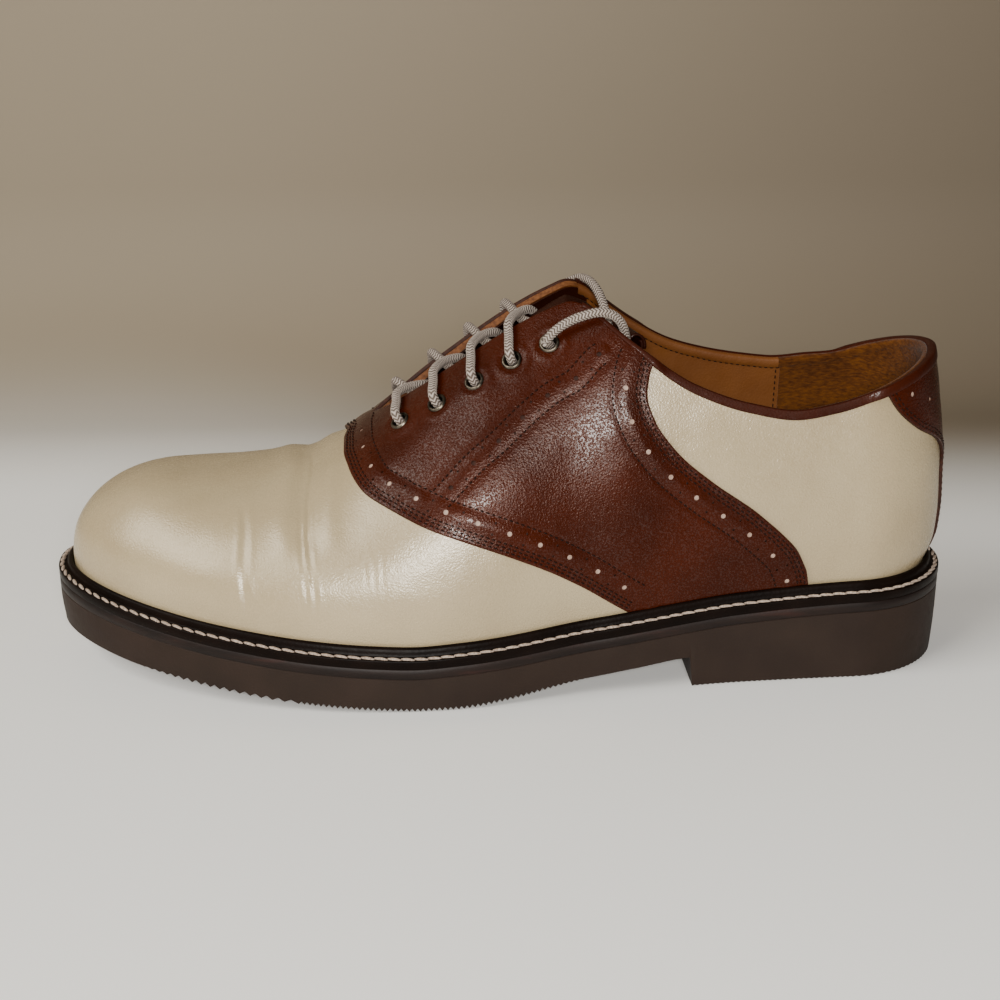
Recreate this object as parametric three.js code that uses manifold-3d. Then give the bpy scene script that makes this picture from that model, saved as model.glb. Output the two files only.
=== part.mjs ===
// Saddle shoe for the left foot: a moulded sole with midsole and storm welt, an insole, a hollow
// leather upper on a true last, saddle, backstay and topline binding laid over it, a tongue, ten
// eyelets and a round lace. Millimetres, +Z up, heel at +X, toe at -X, outer side at -Y.
import * as THREE from "three";
import { mergeVertices } from "three/addons/utils/BufferGeometryUtils.js";
import Module from "manifold-3d";

const wasm = await Module();
wasm.setup();

// Driving sizes of the last and the sole
const SOLE_LENGTH = 306;
const BALL_WIDTH = 111;
const INSTEP_HEIGHT = 130.5;
const COLLAR_HEIGHT = 91.5;
const HEEL_TOP_HEIGHT = 108;
const SEAT_HEIGHT = 31;
const FOREPART_HEIGHT = 18.5;
const TOE_SPRING = 13.5;
const HEEL_LENGTH = 92;
const HEEL_BREAST = 10.4;
const BREAST_DRAFT = 1;
const HEEL_ROUND = 36;
const TOE_ROUND = 84;
const TOE_SQUARENESS = 2.25;
const TOE_BOX_LENGTH = 40;
const TOE_BOX_SQUARENESS = 2.2;

// Sizes of the layers and pieces
const FIT_GAP = 0.3;
const WELT_WIDTH = 5.5;
const WELT_THICKNESS = 3;
const WELT_CLEARANCE = 0.9;
const LIP_HEIGHT = 3.1;
const LIP_WIDTH = 2.4;
const MIDSOLE_THICKNESS = 3.2;
const MIDSOLE_INSET = 0.8;
const HEEL_TAPER = 0.9;
const SOLE_EDGE_ROUND = 0.7;
const INSOLE_THICKNESS = 3;
const UPPER_WALL = 2.2;
const UPPER_BULGE = 2.4;
const BULGE_HEIGHT = 24;
const OVERLAY_THICKNESS = 1.2;
const OVERLAY_GAP = 0.45;
const OVERLAY_TOP = OVERLAY_GAP + OVERLAY_THICKNESS;
const BINDING_HEIGHT = 2.4;
const BINDING_THICKNESS = 0.8;
const THROAT_GAP = 20;
const THROAT_CORNER = 8;
const TONGUE_WIDTH = 46;
const TONGUE_THICKNESS = 2;
const TONGUE_CURL = 16;
const EYELET_SPACING = 12.1;
const EYELET_EDGE = 12.5;
const EYELET_FLANGE_RADIUS = 3.45;
const EYELET_BARREL_RADIUS = 2.6;
const EYELET_BORE_RADIUS = 1.95;
const EYELET_FLANGE_THICKNESS = 0.6;
const LACE_DIAMETER = 3.2;
const TIP_DIAMETER = 2.9;
const TIP_LENGTH = 14;
const EYELET_COUNT = 5;

// How finely the forms are divided
const HEEL_STEPS = 9;
const SIDE_STEPS = 20;
const TOE_STEPS = 9;
const UPPER_ROWS = 9;
const SADDLE_LINES = 12;
const SADDLE_ROWS = 12;
const BACKSTAY_LINES = 7;
const BACKSTAY_ROWS = 11;
const BINDING_STEPS = 14;
const TONGUE_STEPS = 12;
const TONGUE_LINES = 4;
const EYELET_SIDES = 8;
const STRAND_STEPS = 8;
const END_STEPS = 11;
const CORD_HALF_SIDES = 3;
const ROUND_HALF_SIDES = 4;
const OUTLINE_SAMPLES = 200;
const FACING_SLICES = 240;

// Outline of the sole: share of the length, centre line and half width as shares of the ball width
const OUTLINE = [
  { at: 0.00, centre: 0.000, half: 0.335 },
  { at: 0.12, centre: -0.010, half: 0.335 },
  { at: 0.25, centre: -0.035, half: 0.330 },
  { at: 0.40, centre: -0.075, half: 0.345 },
  { at: 0.52, centre: -0.079, half: 0.411 },
  { at: 0.61, centre: -0.052, half: 0.462 },
  { at: 0.71, centre: -0.005, half: 0.492 },
  { at: 0.80, centre: 0.030, half: 0.478 },
  { at: 0.90, centre: 0.062, half: 0.445 },
  { at: 1.00, centre: 0.085, half: 0.400 },
];

// Side profile of the sole: shares of the seat's lift, of the breast's arch and of the toe spring
const PROFILE = [
  { at: 0.00, lift: 1.000, arch: 1.00, spring: 0.00 },
  { at: 0.10, lift: 0.983, arch: 1.00, spring: 0.00 },
  { at: 0.25, lift: 0.783, arch: 1.00, spring: 0.00 },
  { at: 0.30, lift: 0.660, arch: 1.00, spring: 0.00 },
  { at: 0.36, lift: 0.495, arch: 0.80, spring: 0.00 },
  { at: 0.42, lift: 0.325, arch: 0.55, spring: 0.00 },
  { at: 0.50, lift: 0.130, arch: 0.15, spring: 0.00 },
  { at: 0.56, lift: 0.045, arch: 0.00, spring: 0.00 },
  { at: 0.60, lift: 0.000, arch: 0.00, spring: 0.00 },
  { at: 0.64, lift: 0.000, arch: 0.00, spring: 0.04 },
  { at: 0.70, lift: 0.000, arch: 0.00, spring: 0.14 },
  { at: 0.80, lift: 0.000, arch: 0.00, spring: 0.37 },
  { at: 0.90, lift: 0.000, arch: 0.00, spring: 0.65 },
  { at: 1.00, lift: 0.000, arch: 0.00, spring: 1.00 },
];

// Sections of the last: ridge's shift to the inner side as a share of the ball width, crown height
// as a share of the instep height, and how round the sides and the crown are
const LAST = [
  { at: 0.00, ridge: 0.000, crown: 1.149, sides: 1.10, top: 1.00 },
  { at: 0.12, ridge: 0.010, crown: 1.149, sides: 1.10, top: 1.00 },
  { at: 0.25, ridge: 0.035, crown: 1.134, sides: 1.15, top: 1.00 },
  { at: 0.36, ridge: 0.085, crown: 1.088, sides: 1.20, top: 1.00 },
  { at: 0.44, ridge: 0.110, crown: 1.000, sides: 1.20, top: 1.00 },
  { at: 0.50, ridge: 0.120, crown: 0.904, sides: 1.15, top: 1.00 },
  { at: 0.56, ridge: 0.115, crown: 0.793, sides: 1.10, top: 1.00 },
  { at: 0.60, ridge: 0.105, crown: 0.713, sides: 1.05, top: 0.98 },
  { at: 0.64, ridge: 0.090, crown: 0.636, sides: 1.00, top: 0.95 },
  { at: 0.68, ridge: 0.075, crown: 0.575, sides: 0.96, top: 0.92 },
  { at: 0.73, ridge: 0.055, crown: 0.536, sides: 0.92, top: 0.90 },
  { at: 0.78, ridge: 0.042, crown: 0.516, sides: 0.90, top: 0.88 },
  { at: 0.85, ridge: 0.025, crown: 0.506, sides: 0.87, top: 0.86 },
  { at: 1.00, ridge: 0.000, crown: 0.517, sides: 0.85, top: 0.85 },
];

// Back curve of the heel: height as a share of the heel top's height, inset as a share of the
// heel's round
const BACK_CURVE = [
  { at: 0.00, inset: 0.153 },
  { at: 0.05, inset: 0.150 },
  { at: 0.08, inset: 0.108 },
  { at: 0.13, inset: 0.066 },
  { at: 0.23, inset: 0.050 },
  { at: 0.35, inset: 0.056 },
  { at: 0.50, inset: 0.104 },
  { at: 0.63, inset: 0.161 },
  { at: 0.74, inset: 0.228 },
  { at: 1.11, inset: 0.472 },
];

// Topline: share of the length, outer and inner side's height as shares of the collar height; the
// heel column is how much of the heel top's extra height is added
const TOPLINE = [
  { at: 0.000, outer: 1.000, inner: 1.000, heel: 1.00 },
  { at: 0.050, outer: 1.000, inner: 1.000, heel: 0.68 },
  { at: 0.100, outer: 1.000, inner: 1.000, heel: 0.37 },
  { at: 0.145, outer: 1.000, inner: 1.030, heel: 0.12 },
  { at: 0.190, outer: 1.000, inner: 1.045, heel: 0.00 },
  { at: 0.240, outer: 1.028, inner: 1.072, heel: 0.00 },
  { at: 0.300, outer: 1.099, inner: 1.127, heel: 0.00 },
  { at: 0.350, outer: 1.204, inner: 1.221, heel: 0.00 },
  { at: 0.400, outer: 1.331, inner: 1.354, heel: 0.00 },
  { at: 0.460, outer: 1.525, inner: 1.558, heel: 0.00 },
];

// Throat between the facings: half gap as a share of the full gap
const THROAT = [
  { at: 0.400, open: 0.50 },
  { at: 0.500, open: 0.47 },
  { at: 0.560, open: 0.43 },
  { at: 0.600, open: 0.33 },
  { at: 0.625, open: 0.19 },
  { at: 0.640, open: 0.00 },
];
const THROAT_BASE = THROAT[THROAT.length - 1].at;
const THROAT_SHIFT = 0.44;
const CORNER_END = 0.46;
const CORNER_START = 0.30;

// Saddle's front and rear edges: height share of the side, shares of the sole's length
const SADDLE = [
  { at: 0.00, front: 0.372, rear: 0.172 },
  { at: 0.03, front: 0.386, rear: 0.173 },
  { at: 0.08, front: 0.412, rear: 0.175 },
  { at: 0.14, front: 0.450, rear: 0.180 },
  { at: 0.21, front: 0.494, rear: 0.187 },
  { at: 0.29, front: 0.542, rear: 0.201 },
  { at: 0.37, front: 0.585, rear: 0.219 },
  { at: 0.45, front: 0.620, rear: 0.241 },
  { at: 0.56, front: 0.652, rear: 0.284 },
  { at: 0.66, front: 0.664, rear: 0.326 },
  { at: 0.72, front: 0.668, rear: 0.343 },
  { at: 0.81, front: 0.672, rear: 0.352 },
  { at: 0.91, front: 0.672, rear: 0.349 },
  { at: 1.00, front: 0.668, rear: 0.343 },
];

// Backstay: height share, half width as a share of the quarter turn round the heel
const BACKSTAY = [
  { at: 0.00, turn: 0.11 },
  { at: 0.44, turn: 0.11 },
  { at: 0.50, turn: 0.14 },
  { at: 0.57, turn: 0.24 },
  { at: 0.64, turn: 0.39 },
  { at: 0.72, turn: 0.58 },
  { at: 0.86, turn: 0.76 },
  { at: 1.00, turn: 0.86 },
];
const TAB_END = 0.103;

// Tongue: share of its own length from the top, section of the last that it follows, depth below
// the upper's inner face as a share of the lace, half widths as shares of the tongue's width, and
// how far its top curls back and down as shares of the curl
const TONGUE = [
  { at: 0.00, section: 0.440, drop: 1.45, outer: 0.30, inner: 0.24, back: 1.00, down: 0.78 },
  { at: 0.08, section: 0.440, drop: 1.45, outer: 0.34, inner: 0.28, back: 0.70, down: 0.40 },
  { at: 0.16, section: 0.440, drop: 1.45, outer: 0.42, inner: 0.32, back: 0.36, down: 0.12 },
  { at: 0.25, section: 0.440, drop: 1.40, outer: 0.50, inner: 0.38, back: 0.00, down: 0.00 },
  { at: 0.60, section: 0.540, drop: 1.24, outer: 0.54, inner: 0.38, back: 0.00, down: 0.00 },
  { at: 0.88, section: 0.625, drop: 0.70, outer: 0.48, inner: 0.36, back: 0.00, down: 0.00 },
  { at: 1.00, section: 0.655, drop: 0.16, outer: 0.42, inner: 0.34, back: 0.00, down: 0.00 },
];
const FIRST_EYELET = 0.610;

// Share of the section parameter at which the heel's round ends and the toe's begins
const HEEL_SHARE = 0.16;
const TOE_SHARE = 0.70;
const QUARTER = Math.PI / 2;
const OUTER = -1;
const INNER = 1;

// Small steps used for slopes and for welding points
const SECTION_STEP = 0.002;
const ANGLE_STEP = 0.01;
const WELD = 1e-4;

// A table's column read as a smooth curve that never overshoots its rows
function read(table, column, at) {
  const last = table.length - 1;
  const u = Math.min(Math.max(at, table[0].at), table[last].at);
  const slope = (i) => (table[i + 1][column] - table[i][column]) / (table[i + 1].at - table[i].at);
  const tangent = (i) => {
    if (i === 0) return slope(0);
    if (i === last) return slope(last - 1);
    const [before, after] = [slope(i - 1), slope(i)];
    if (before * after <= 0) return 0;
    const [a, b] = [table[i].at - table[i - 1].at, table[i + 1].at - table[i].at];
    return (3 * a + 3 * b) / ((2 * b + a) / before + (b + 2 * a) / after);
  };
  let i = 0;
  while (i < last - 1 && u > table[i + 1].at) i += 1;
  const width = table[i + 1].at - table[i].at;
  const t = (u - table[i].at) / width;
  return table[i][column] * (1 + 2 * t) * (1 - t) ** 2 + tangent(i) * width * t * (1 - t) ** 2
    + table[i + 1][column] * t * t * (3 - 2 * t) - tangent(i + 1) * width * t * t * (1 - t);
}

const clamp = (value) => Math.min(Math.max(value, 0), 1);
const ease = (value) => clamp(value) ** 2 * (3 - 2 * clamp(value));
const mix = (a, b, share) => a + (b - a) * share;

// Section parameter: 0 at the heel's back, 1 at the toe's tip
function place(k, inset) {
  if (k < HEEL_SHARE) {
    const turn = QUARTER * k / HEEL_SHARE;
    return { s: HEEL_ROUND - (HEEL_ROUND - inset) * Math.cos(turn), wide: Math.sin(turn) };
  }
  if (k < TOE_SHARE) {
    const share = (k - HEEL_SHARE) / (TOE_SHARE - HEEL_SHARE);
    return { s: mix(HEEL_ROUND, SOLE_LENGTH - TOE_ROUND, share), wide: 1 };
  }
  const turn = QUARTER * Math.min((k - TOE_SHARE) / (1 - TOE_SHARE), 1);
  const power = 2 / TOE_SQUARENESS;
  const reach = (TOE_ROUND - inset) * Math.sin(turn) ** power;
  return { s: SOLE_LENGTH - TOE_ROUND + reach, wide: k >= 1 ? 0 : Math.cos(turn) ** power };
}

// Section parameter of a length in the straight part between heel and toe
function sectionAt(s) {
  const share = (s - HEEL_ROUND) / (SOLE_LENGTH - TOE_ROUND - HEEL_ROUND);
  return mix(HEEL_SHARE, TOE_SHARE, share);
}

// Point of the sole's outline on one side
function edge(k, side, inset) {
  const { s, wide } = place(k, inset);
  const centre = read(OUTLINE, "centre", s / SOLE_LENGTH) * BALL_WIDTH;
  const half = read(OUTLINE, "half", s / SOLE_LENGTH) * BALL_WIDTH - inset;
  return { s, y: centre + side * half * wide };
}

// Heights along the sole, from the ground up
const spring = (s) => read(PROFILE, "spring", s / SOLE_LENGTH) * TOE_SPRING;
const weltTop = (s) => mix(FOREPART_HEIGHT, SEAT_HEIGHT, read(PROFILE, "lift", s / SOLE_LENGTH)) + spring(s);
const feather = (s) => weltTop(s) - WELT_THICKNESS;
const midsoleTop = (s) => feather(s) - FIT_GAP;
const midsoleBase = (s) => midsoleTop(s) - MIDSOLE_THICKNESS;
const outsoleTop = (s) => midsoleBase(s) - FIT_GAP;
const archHeight = (s) => read(PROFILE, "arch", s / SOLE_LENGTH) * HEEL_BREAST + spring(s);
const treadHeight = (s) => archHeight(s) * clamp((s - HEEL_LENGTH) / BREAST_DRAFT + 0.5);

// The upper's outer face: side, section and angle from the feather line (0) to the ridge (QUARTER)
function sectionOf(k) {
  const { s, wide } = place(k, WELT_WIDTH);
  const at = s / SOLE_LENGTH;
  const boxShare = (s - (SOLE_LENGTH - WELT_WIDTH - TOE_BOX_LENGTH)) / TOE_BOX_LENGTH;
  const box = Math.max(1 - clamp(boxShare) ** TOE_BOX_SQUARENESS, 0) ** (1 / TOE_BOX_SQUARENESS);
  return {
    s,
    at,
    base: feather(s),
    crown: (read(LAST, "crown", at) * INSTEP_HEIGHT - feather(s)) * box,
    sides: read(LAST, "sides", at),
    top: read(LAST, "top", at),
    centre: read(OUTLINE, "centre", at) * BALL_WIDTH,
    half: read(OUTLINE, "half", at) * BALL_WIDTH,
    shift: read(LAST, "ridge", at) * BALL_WIDTH,
    wide,
  };
}

function upperPoint(k, side, angle) {
  const form = sectionOf(k);
  const height = form.crown * Math.max(Math.sin(angle), 0) ** form.top;
  const inset = WELT_WIDTH - UPPER_BULGE * ease(height / BULGE_HEIGHT);
  let { s, wide } = place(k, inset);
  if (k < HEEL_SHARE) {
    const back = read(BACK_CURVE, "inset", height / HEEL_TOP_HEIGHT) * HEEL_ROUND;
    s = HEEL_ROUND - (HEEL_ROUND - back) * Math.cos(QUARTER * k / HEEL_SHARE);
  }
  const reach = (form.half - inset - side * form.shift) * wide * Math.max(Math.cos(angle), 0) ** form.sides;
  return new THREE.Vector3(s, form.centre + form.shift * wide + side * reach, form.base + height);
}

// Angle at which the upper ends: on the ridge ahead of the throat, else on the facing or topline
function topAngle(k, side) {
  const form = sectionOf(k);
  if (form.at > THROAT_BASE - 1e-9) return QUARTER;
  const share = side === OUTER ? read(TOPLINE, "outer", form.at) : read(TOPLINE, "inner", form.at);
  const heel = read(TOPLINE, "heel", form.at) * (HEEL_TOP_HEIGHT - COLLAR_HEIGHT);
  const collar = share * COLLAR_HEIGHT + heel - form.base;
  if (form.at < CORNER_START) return Math.asin(clamp(collar / form.crown) ** (1 / form.top));
  const gap = read(THROAT, "open", form.at) * THROAT_GAP * (1 - side * THROAT_SHIFT);
  const reach = form.half - WELT_WIDTH + UPPER_BULGE - side * form.shift;
  const facing = form.crown * Math.sin(Math.acos(clamp(gap / reach) ** (1 / form.sides))) ** form.top;
  if (form.at >= CORNER_END) return Math.asin(clamp(facing / form.crown) ** (1 / form.top));
  const blend = clamp(0.5 + 0.5 * (facing - collar) / THROAT_CORNER);
  const height = mix(facing, collar, blend) - THROAT_CORNER * blend * (1 - blend);
  return Math.asin(clamp(height / form.crown) ** (1 / form.top));
}

// Angle at a height above the feather line
function angleAt(k, height) {
  const form = sectionOf(k);
  return Math.asin(clamp(height / form.crown) ** (1 / form.top));
}

// Outward normal of the upper's outer face, by small steps along and across it
function upperNormal(k, side, angle) {
  const [low, high] = [Math.max(k - SECTION_STEP, 0), Math.min(k + SECTION_STEP, 1)];
  const along = upperPoint(high, side, angle).sub(upperPoint(low, side, angle));
  const top = Math.min(angle + ANGLE_STEP, QUARTER);
  const up = upperPoint(k, side, top).sub(upperPoint(k, side, angle - ANGLE_STEP));
  return along.cross(up).multiplyScalar(-side).normalize();
}

// An open skin: quads given by their corner points, split at their shorter diagonal and welded
function skin() {
  const points = [];
  const faces = [];
  const known = new Map();
  const index = (point) => {
    const key = [point.x, point.y, point.z].map((value) => Math.round(value / WELD)).join(",");
    if (!known.has(key)) {
      known.set(key, points.length);
      points.push(point);
    }
    return known.get(key);
  };
  const triangle = (a, b, c) => {
    if (a !== b && b !== c && c !== a) faces.push([a, b, c]);
  };
  const quad = (a, b, c, d) => {
    const [i, j, m, n] = [a, b, c, d].map(index);
    if (a.distanceTo(c) < b.distanceTo(d)) {
      triangle(i, j, m);
      triangle(i, m, n);
    } else {
      triangle(j, m, n);
      triangle(j, n, i);
    }
  };
  return { points, faces, quad };
}

// A grid of points laid as a skin, turned so that both sides of the shoe face the same way
function addGrid(target, rows, side) {
  for (let i = 0; i + 1 < rows.length; i += 1) {
    for (let j = 0; j + 1 < rows[i].length; j += 1) {
      const corners = [rows[i][j], rows[i + 1][j], rows[i + 1][j + 1], rows[i][j + 1]];
      if (side === INNER) corners.reverse();
      target.quad(...corners);
    }
  }
}

// Shoe coordinates (length from the heel, across, up) to the part's frame
const outlineMiddle = (() => {
  const reaches = [];
  for (let i = 0; i <= OUTLINE_SAMPLES; i += 1) {
    for (const side of [OUTER, INNER]) reaches.push(edge(i / OUTLINE_SAMPLES, side, 0).y);
  }
  return (Math.max(...reaches) + Math.min(...reaches)) / 2;
})();
const inFrame = (point) => new THREE.Vector3(SOLE_LENGTH / 2 - point.x, point.y - outlineMiddle, point.z);

// A closed body from points and faces, its faces turned outwards
function body(points, faces) {
  const placed = points.map(inFrame);
  let volume = 0;
  for (const [a, b, c] of faces) volume += placed[a].dot(placed[b].clone().cross(placed[c]));
  const turned = volume < 0 ? faces.map(([a, b, c]) => [a, c, b]) : faces;
  const geometry = new THREE.BufferGeometry();
  const values = new Float32Array(placed.flatMap((point) => point.toArray()));
  geometry.setAttribute("position", new THREE.BufferAttribute(values, 3));
  geometry.setIndex(turned.flat());
  return geometry;
}

// A skin given a wall between two distances along its own normals, no lower than the feather line
function thicken(source, from, to) {
  const { points, faces } = source;
  const normals = points.map(() => new THREE.Vector3());
  const edges = new Map();
  for (const face of faces) {
    const [a, b, c] = face.map((i) => points[i]);
    const normal = b.clone().sub(a).cross(c.clone().sub(a));
    for (let i = 0; i < 3; i += 1) {
      normals[face[i]].add(normal);
      const [start, end] = [face[i], face[(i + 1) % 3]];
      edges.set(`${start},${end}`, [start, end]);
    }
  }
  const count = points.length;
  const moved = (distance) => points.map((point, i) => {
    const target = point.clone().addScaledVector(normals[i].clone().normalize(), distance);
    target.z = Math.max(target.z, feather(target.x));
    return target;
  });
  const closed = faces.map(([a, b, c]) => [a + count, b + count, c + count]);
  for (const [a, b, c] of faces) closed.push([a, c, b]);
  for (const [start, end] of edges.values()) {
    if (edges.has(`${end},${start}`)) continue;
    closed.push([start, end, end + count], [start, end + count, start + count]);
  }
  return body([...moved(from), ...moved(to)], closed);
}

// Sections used along the whole shoe
function sectionList(extra) {
  const list = new Set(extra);
  for (let i = 0; i <= HEEL_STEPS; i += 1) list.add(HEEL_SHARE * i / HEEL_STEPS);
  for (let i = 1; i <= TOE_STEPS; i += 1) list.add(mix(TOE_SHARE, 1, i / TOE_STEPS));
  for (let i = 1; i <= SIDE_STEPS; i += 1) {
    const k = mix(HEEL_SHARE, TOE_SHARE, i / SIDE_STEPS);
    const half = (TOE_SHARE - HEEL_SHARE) / SIDE_STEPS / 2;
    if (!extra.some((other) => Math.abs(other - k) < half)) list.add(k);
  }
  return [...list].sort((a, b) => a - b);
}
const throatSection = sectionAt(THROAT_BASE * SOLE_LENGTH);
const UPPER_SECTIONS = sectionList([throatSection]);
const breast = [sectionAt(HEEL_LENGTH - BREAST_DRAFT / 2), sectionAt(HEEL_LENGTH + BREAST_DRAFT / 2)];
const SOLE_SECTIONS = sectionList(breast);

// Ring of points round the shoe at an inset and a height
function ring(sections, inset, height) {
  const at = (k, side) => {
    const point = edge(k, side, inset);
    return new THREE.Vector3(point.s, point.y, height(point.s));
  };
  const outer = sections.map((k) => at(k, OUTER));
  const inner = sections.slice(1, -1).reverse().map((k) => at(k, INNER));
  return [...outer, ...inner];
}

// Side walls between stacked rings, the last joined to the first if it closes on itself
function walls(rings, closes) {
  const size = rings[0].length;
  const faces = [];
  const turns = closes ? rings.length : rings.length - 1;
  for (let level = 0; level < turns; level += 1) {
    const [low, high] = [level * size, ((level + 1) % rings.length) * size];
    for (let i = 0; i < size; i += 1) {
      const next = (i + 1) % size;
      faces.push([low + i, low + next, high + next], [low + i, high + next, high + i]);
    }
  }
  return faces;
}

// Flat cover over one ring, in strips from the outer to the inner side
function cover(size, first, turned) {
  const faces = [];
  const half = size / 2;
  for (let i = 0; i < half; i += 1) {
    const [a, b, c, d] = [i, i + 1, (size - i - 1) % size, (size - i) % size];
    if (b !== c) faces.push([a, c, b]);
    if (a !== d) faces.push([a, d, c]);
  }
  return faces.map(([a, b, c]) => (turned ? [first + a, first + c, first + b] : [first + a, first + b, first + c]));
}

// Stacked plate: levels from the bottom up, each with an inset and a height along the shoe
function plate(sections, levels) {
  const rings = levels.map((level) => ring(sections, level.inset, level.height));
  const size = rings[0].length;
  const last = (rings.length - 1) * size;
  const faces = [...walls(rings, false), ...cover(size, 0, false), ...cover(size, last, true)];
  return body(rings.flat(), faces);
}

function outsole() {
  return plate(SOLE_SECTIONS, [
    { inset: HEEL_TAPER + SOLE_EDGE_ROUND, height: treadHeight },
    { inset: HEEL_TAPER, height: (s) => treadHeight(s) + SOLE_EDGE_ROUND },
    { inset: SOLE_EDGE_ROUND / 2, height: (s) => outsoleTop(s) - SOLE_EDGE_ROUND },
    { inset: SOLE_EDGE_ROUND, height: outsoleTop },
  ]);
}

function midsole() {
  return plate(UPPER_SECTIONS, [
    { inset: MIDSOLE_INSET, height: midsoleBase },
    { inset: MIDSOLE_INSET, height: midsoleTop },
  ]);
}

function insole() {
  const inset = WELT_WIDTH + UPPER_WALL + 2 * FIT_GAP;
  return plate(UPPER_SECTIONS, [
    { inset, height: feather },
    { inset, height: (s) => feather(s) + INSOLE_THICKNESS },
  ]);
}

// Storm welt: a flat strip for the stitches and a raised lip along the upper
function welt() {
  const inner = WELT_WIDTH - WELT_CLEARANCE;
  const lipTop = (s) => weltTop(s) + LIP_HEIGHT;
  const rings = [
    ring(UPPER_SECTIONS, inner, feather),
    ring(UPPER_SECTIONS, 0, feather),
    ring(UPPER_SECTIONS, 0, weltTop),
    ring(UPPER_SECTIONS, inner - LIP_WIDTH, weltTop),
    ring(UPPER_SECTIONS, inner - LIP_WIDTH / 2, lipTop),
    ring(UPPER_SECTIONS, inner, lipTop),
  ];
  return body(rings.flat(), walls(rings, true));
}

// Height above the feather line at which an overlay clears the welt's lip
const OVERLAY_FOOT = WELT_THICKNESS + LIP_HEIGHT + 3 * FIT_GAP;

// Upper: outer face from the feather line to the ridge, facings and topline, given its wall inwards
function upperSkin() {
  const target = skin();
  for (const side of [OUTER, INNER]) {
    const rows = UPPER_SECTIONS.map((k) => {
      const top = topAngle(k, side);
      const foot = Math.min(angleAt(k, OVERLAY_FOOT), top * 2 / UPPER_ROWS);
      const rest = Array.from({ length: UPPER_ROWS }, (_, j) => mix(foot, top, j / (UPPER_ROWS - 1)));
      return [0, ...rest].map((angle) => upperPoint(k, side, angle));
    });
    addGrid(target, rows, side);
  }
  return target;
}

function overlayPoint(k, side, share) {
  const angle = mix(angleAt(k, OVERLAY_FOOT), topAngle(k, side), share);
  return upperPoint(k, side, angle);
}

function saddleSkin() {
  const target = skin();
  const wrap = read(SADDLE, "front", 1) - THROAT_BASE;
  for (const side of [OUTER, INNER]) {
    const rows = Array.from({ length: SADDLE_LINES + 1 }, (_, line) =>
      Array.from({ length: SADDLE_ROWS + 1 }, (_unused, row) => {
        const share = row / SADDLE_ROWS;
        const [front, rear] = [read(SADDLE, "front", share), read(SADDLE, "rear", share)];
        const at = line === 0 ? front : mix(front - wrap, rear, (line - 1) / (SADDLE_LINES - 1));
        const k = share === 1 && line === 1 ? throatSection : sectionAt(at * SOLE_LENGTH);
        return overlayPoint(k, side, share);
      }));
    addGrid(target, rows.reverse(), side);
  }
  return target;
}

function backstaySkin() {
  const target = skin();
  for (const side of [OUTER, INNER]) {
    const rows = Array.from({ length: BACKSTAY_LINES + 1 }, (_, line) =>
      Array.from({ length: BACKSTAY_ROWS + 1 }, (_unused, row) => {
        const share = row / BACKSTAY_ROWS;
        const k = HEEL_SHARE * read(BACKSTAY, "turn", share) * line / BACKSTAY_LINES;
        return overlayPoint(k, side, share);
      }));
    addGrid(target, rows, side);
  }
  return target;
}

// Binding folded over the topline between the saddle and the heel tab
function binding(side) {
  const from = sectionAt(SADDLE[SADDLE.length - 1].rear * SOLE_LENGTH - OVERLAY_THICKNESS);
  const to = sectionAt(TAB_END * SOLE_LENGTH);
  const outside = OVERLAY_GAP + BINDING_THICKNESS;
  const inside = -UPPER_WALL - outside;
  const fold = BINDING_THICKNESS / 2;
  const profile = [
    [outside, -BINDING_HEIGHT], [outside, OVERLAY_GAP + fold], [outside - fold, outside],
    [inside + fold, outside], [inside, OVERLAY_GAP + fold], [inside, -BINDING_HEIGHT],
    [-UPPER_WALL - OVERLAY_GAP, -BINDING_HEIGHT], [-UPPER_WALL - OVERLAY_GAP, OVERLAY_GAP],
    [OVERLAY_GAP, OVERLAY_GAP], [OVERLAY_GAP, -BINDING_HEIGHT],
  ];
  const points = [];
  for (let i = 0; i <= BINDING_STEPS; i += 1) {
    const k = mix(from, to, i / BINDING_STEPS);
    const top = topAngle(k, side);
    const rim = upperPoint(k, side, top);
    const out = upperNormal(k, side, top);
    const up = rim.clone().sub(upperPoint(k, side, top - ANGLE_STEP)).normalize();
    up.addScaledVector(out, -up.dot(out)).normalize();
    for (const [a, b] of profile) points.push(rim.clone().addScaledVector(out, a).addScaledVector(up, b));
  }
  const size = profile.length;
  const faces = [];
  for (let i = 0; i < BINDING_STEPS; i += 1) {
    for (let j = 0; j < size; j += 1) {
      const next = (j + 1) % size;
      const [low, high] = [i * size, (i + 1) * size];
      faces.push([low + j, low + next, high + next], [low + j, high + next, high + j]);
    }
  }
  const flat = profile.map(([a, b]) => new THREE.Vector2(a, b));
  const end = BINDING_STEPS * size;
  for (const [a, b, c] of THREE.ShapeUtils.triangulateShape(flat, [])) {
    const turned = THREE.ShapeUtils.isClockWise(flat);
    faces.push(turned ? [a, b, c] : [a, c, b]);
    faces.push(turned ? [end + a, end + c, end + b] : [end + a, end + b, end + c]);
  }
  return body(points, faces);
}

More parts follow.
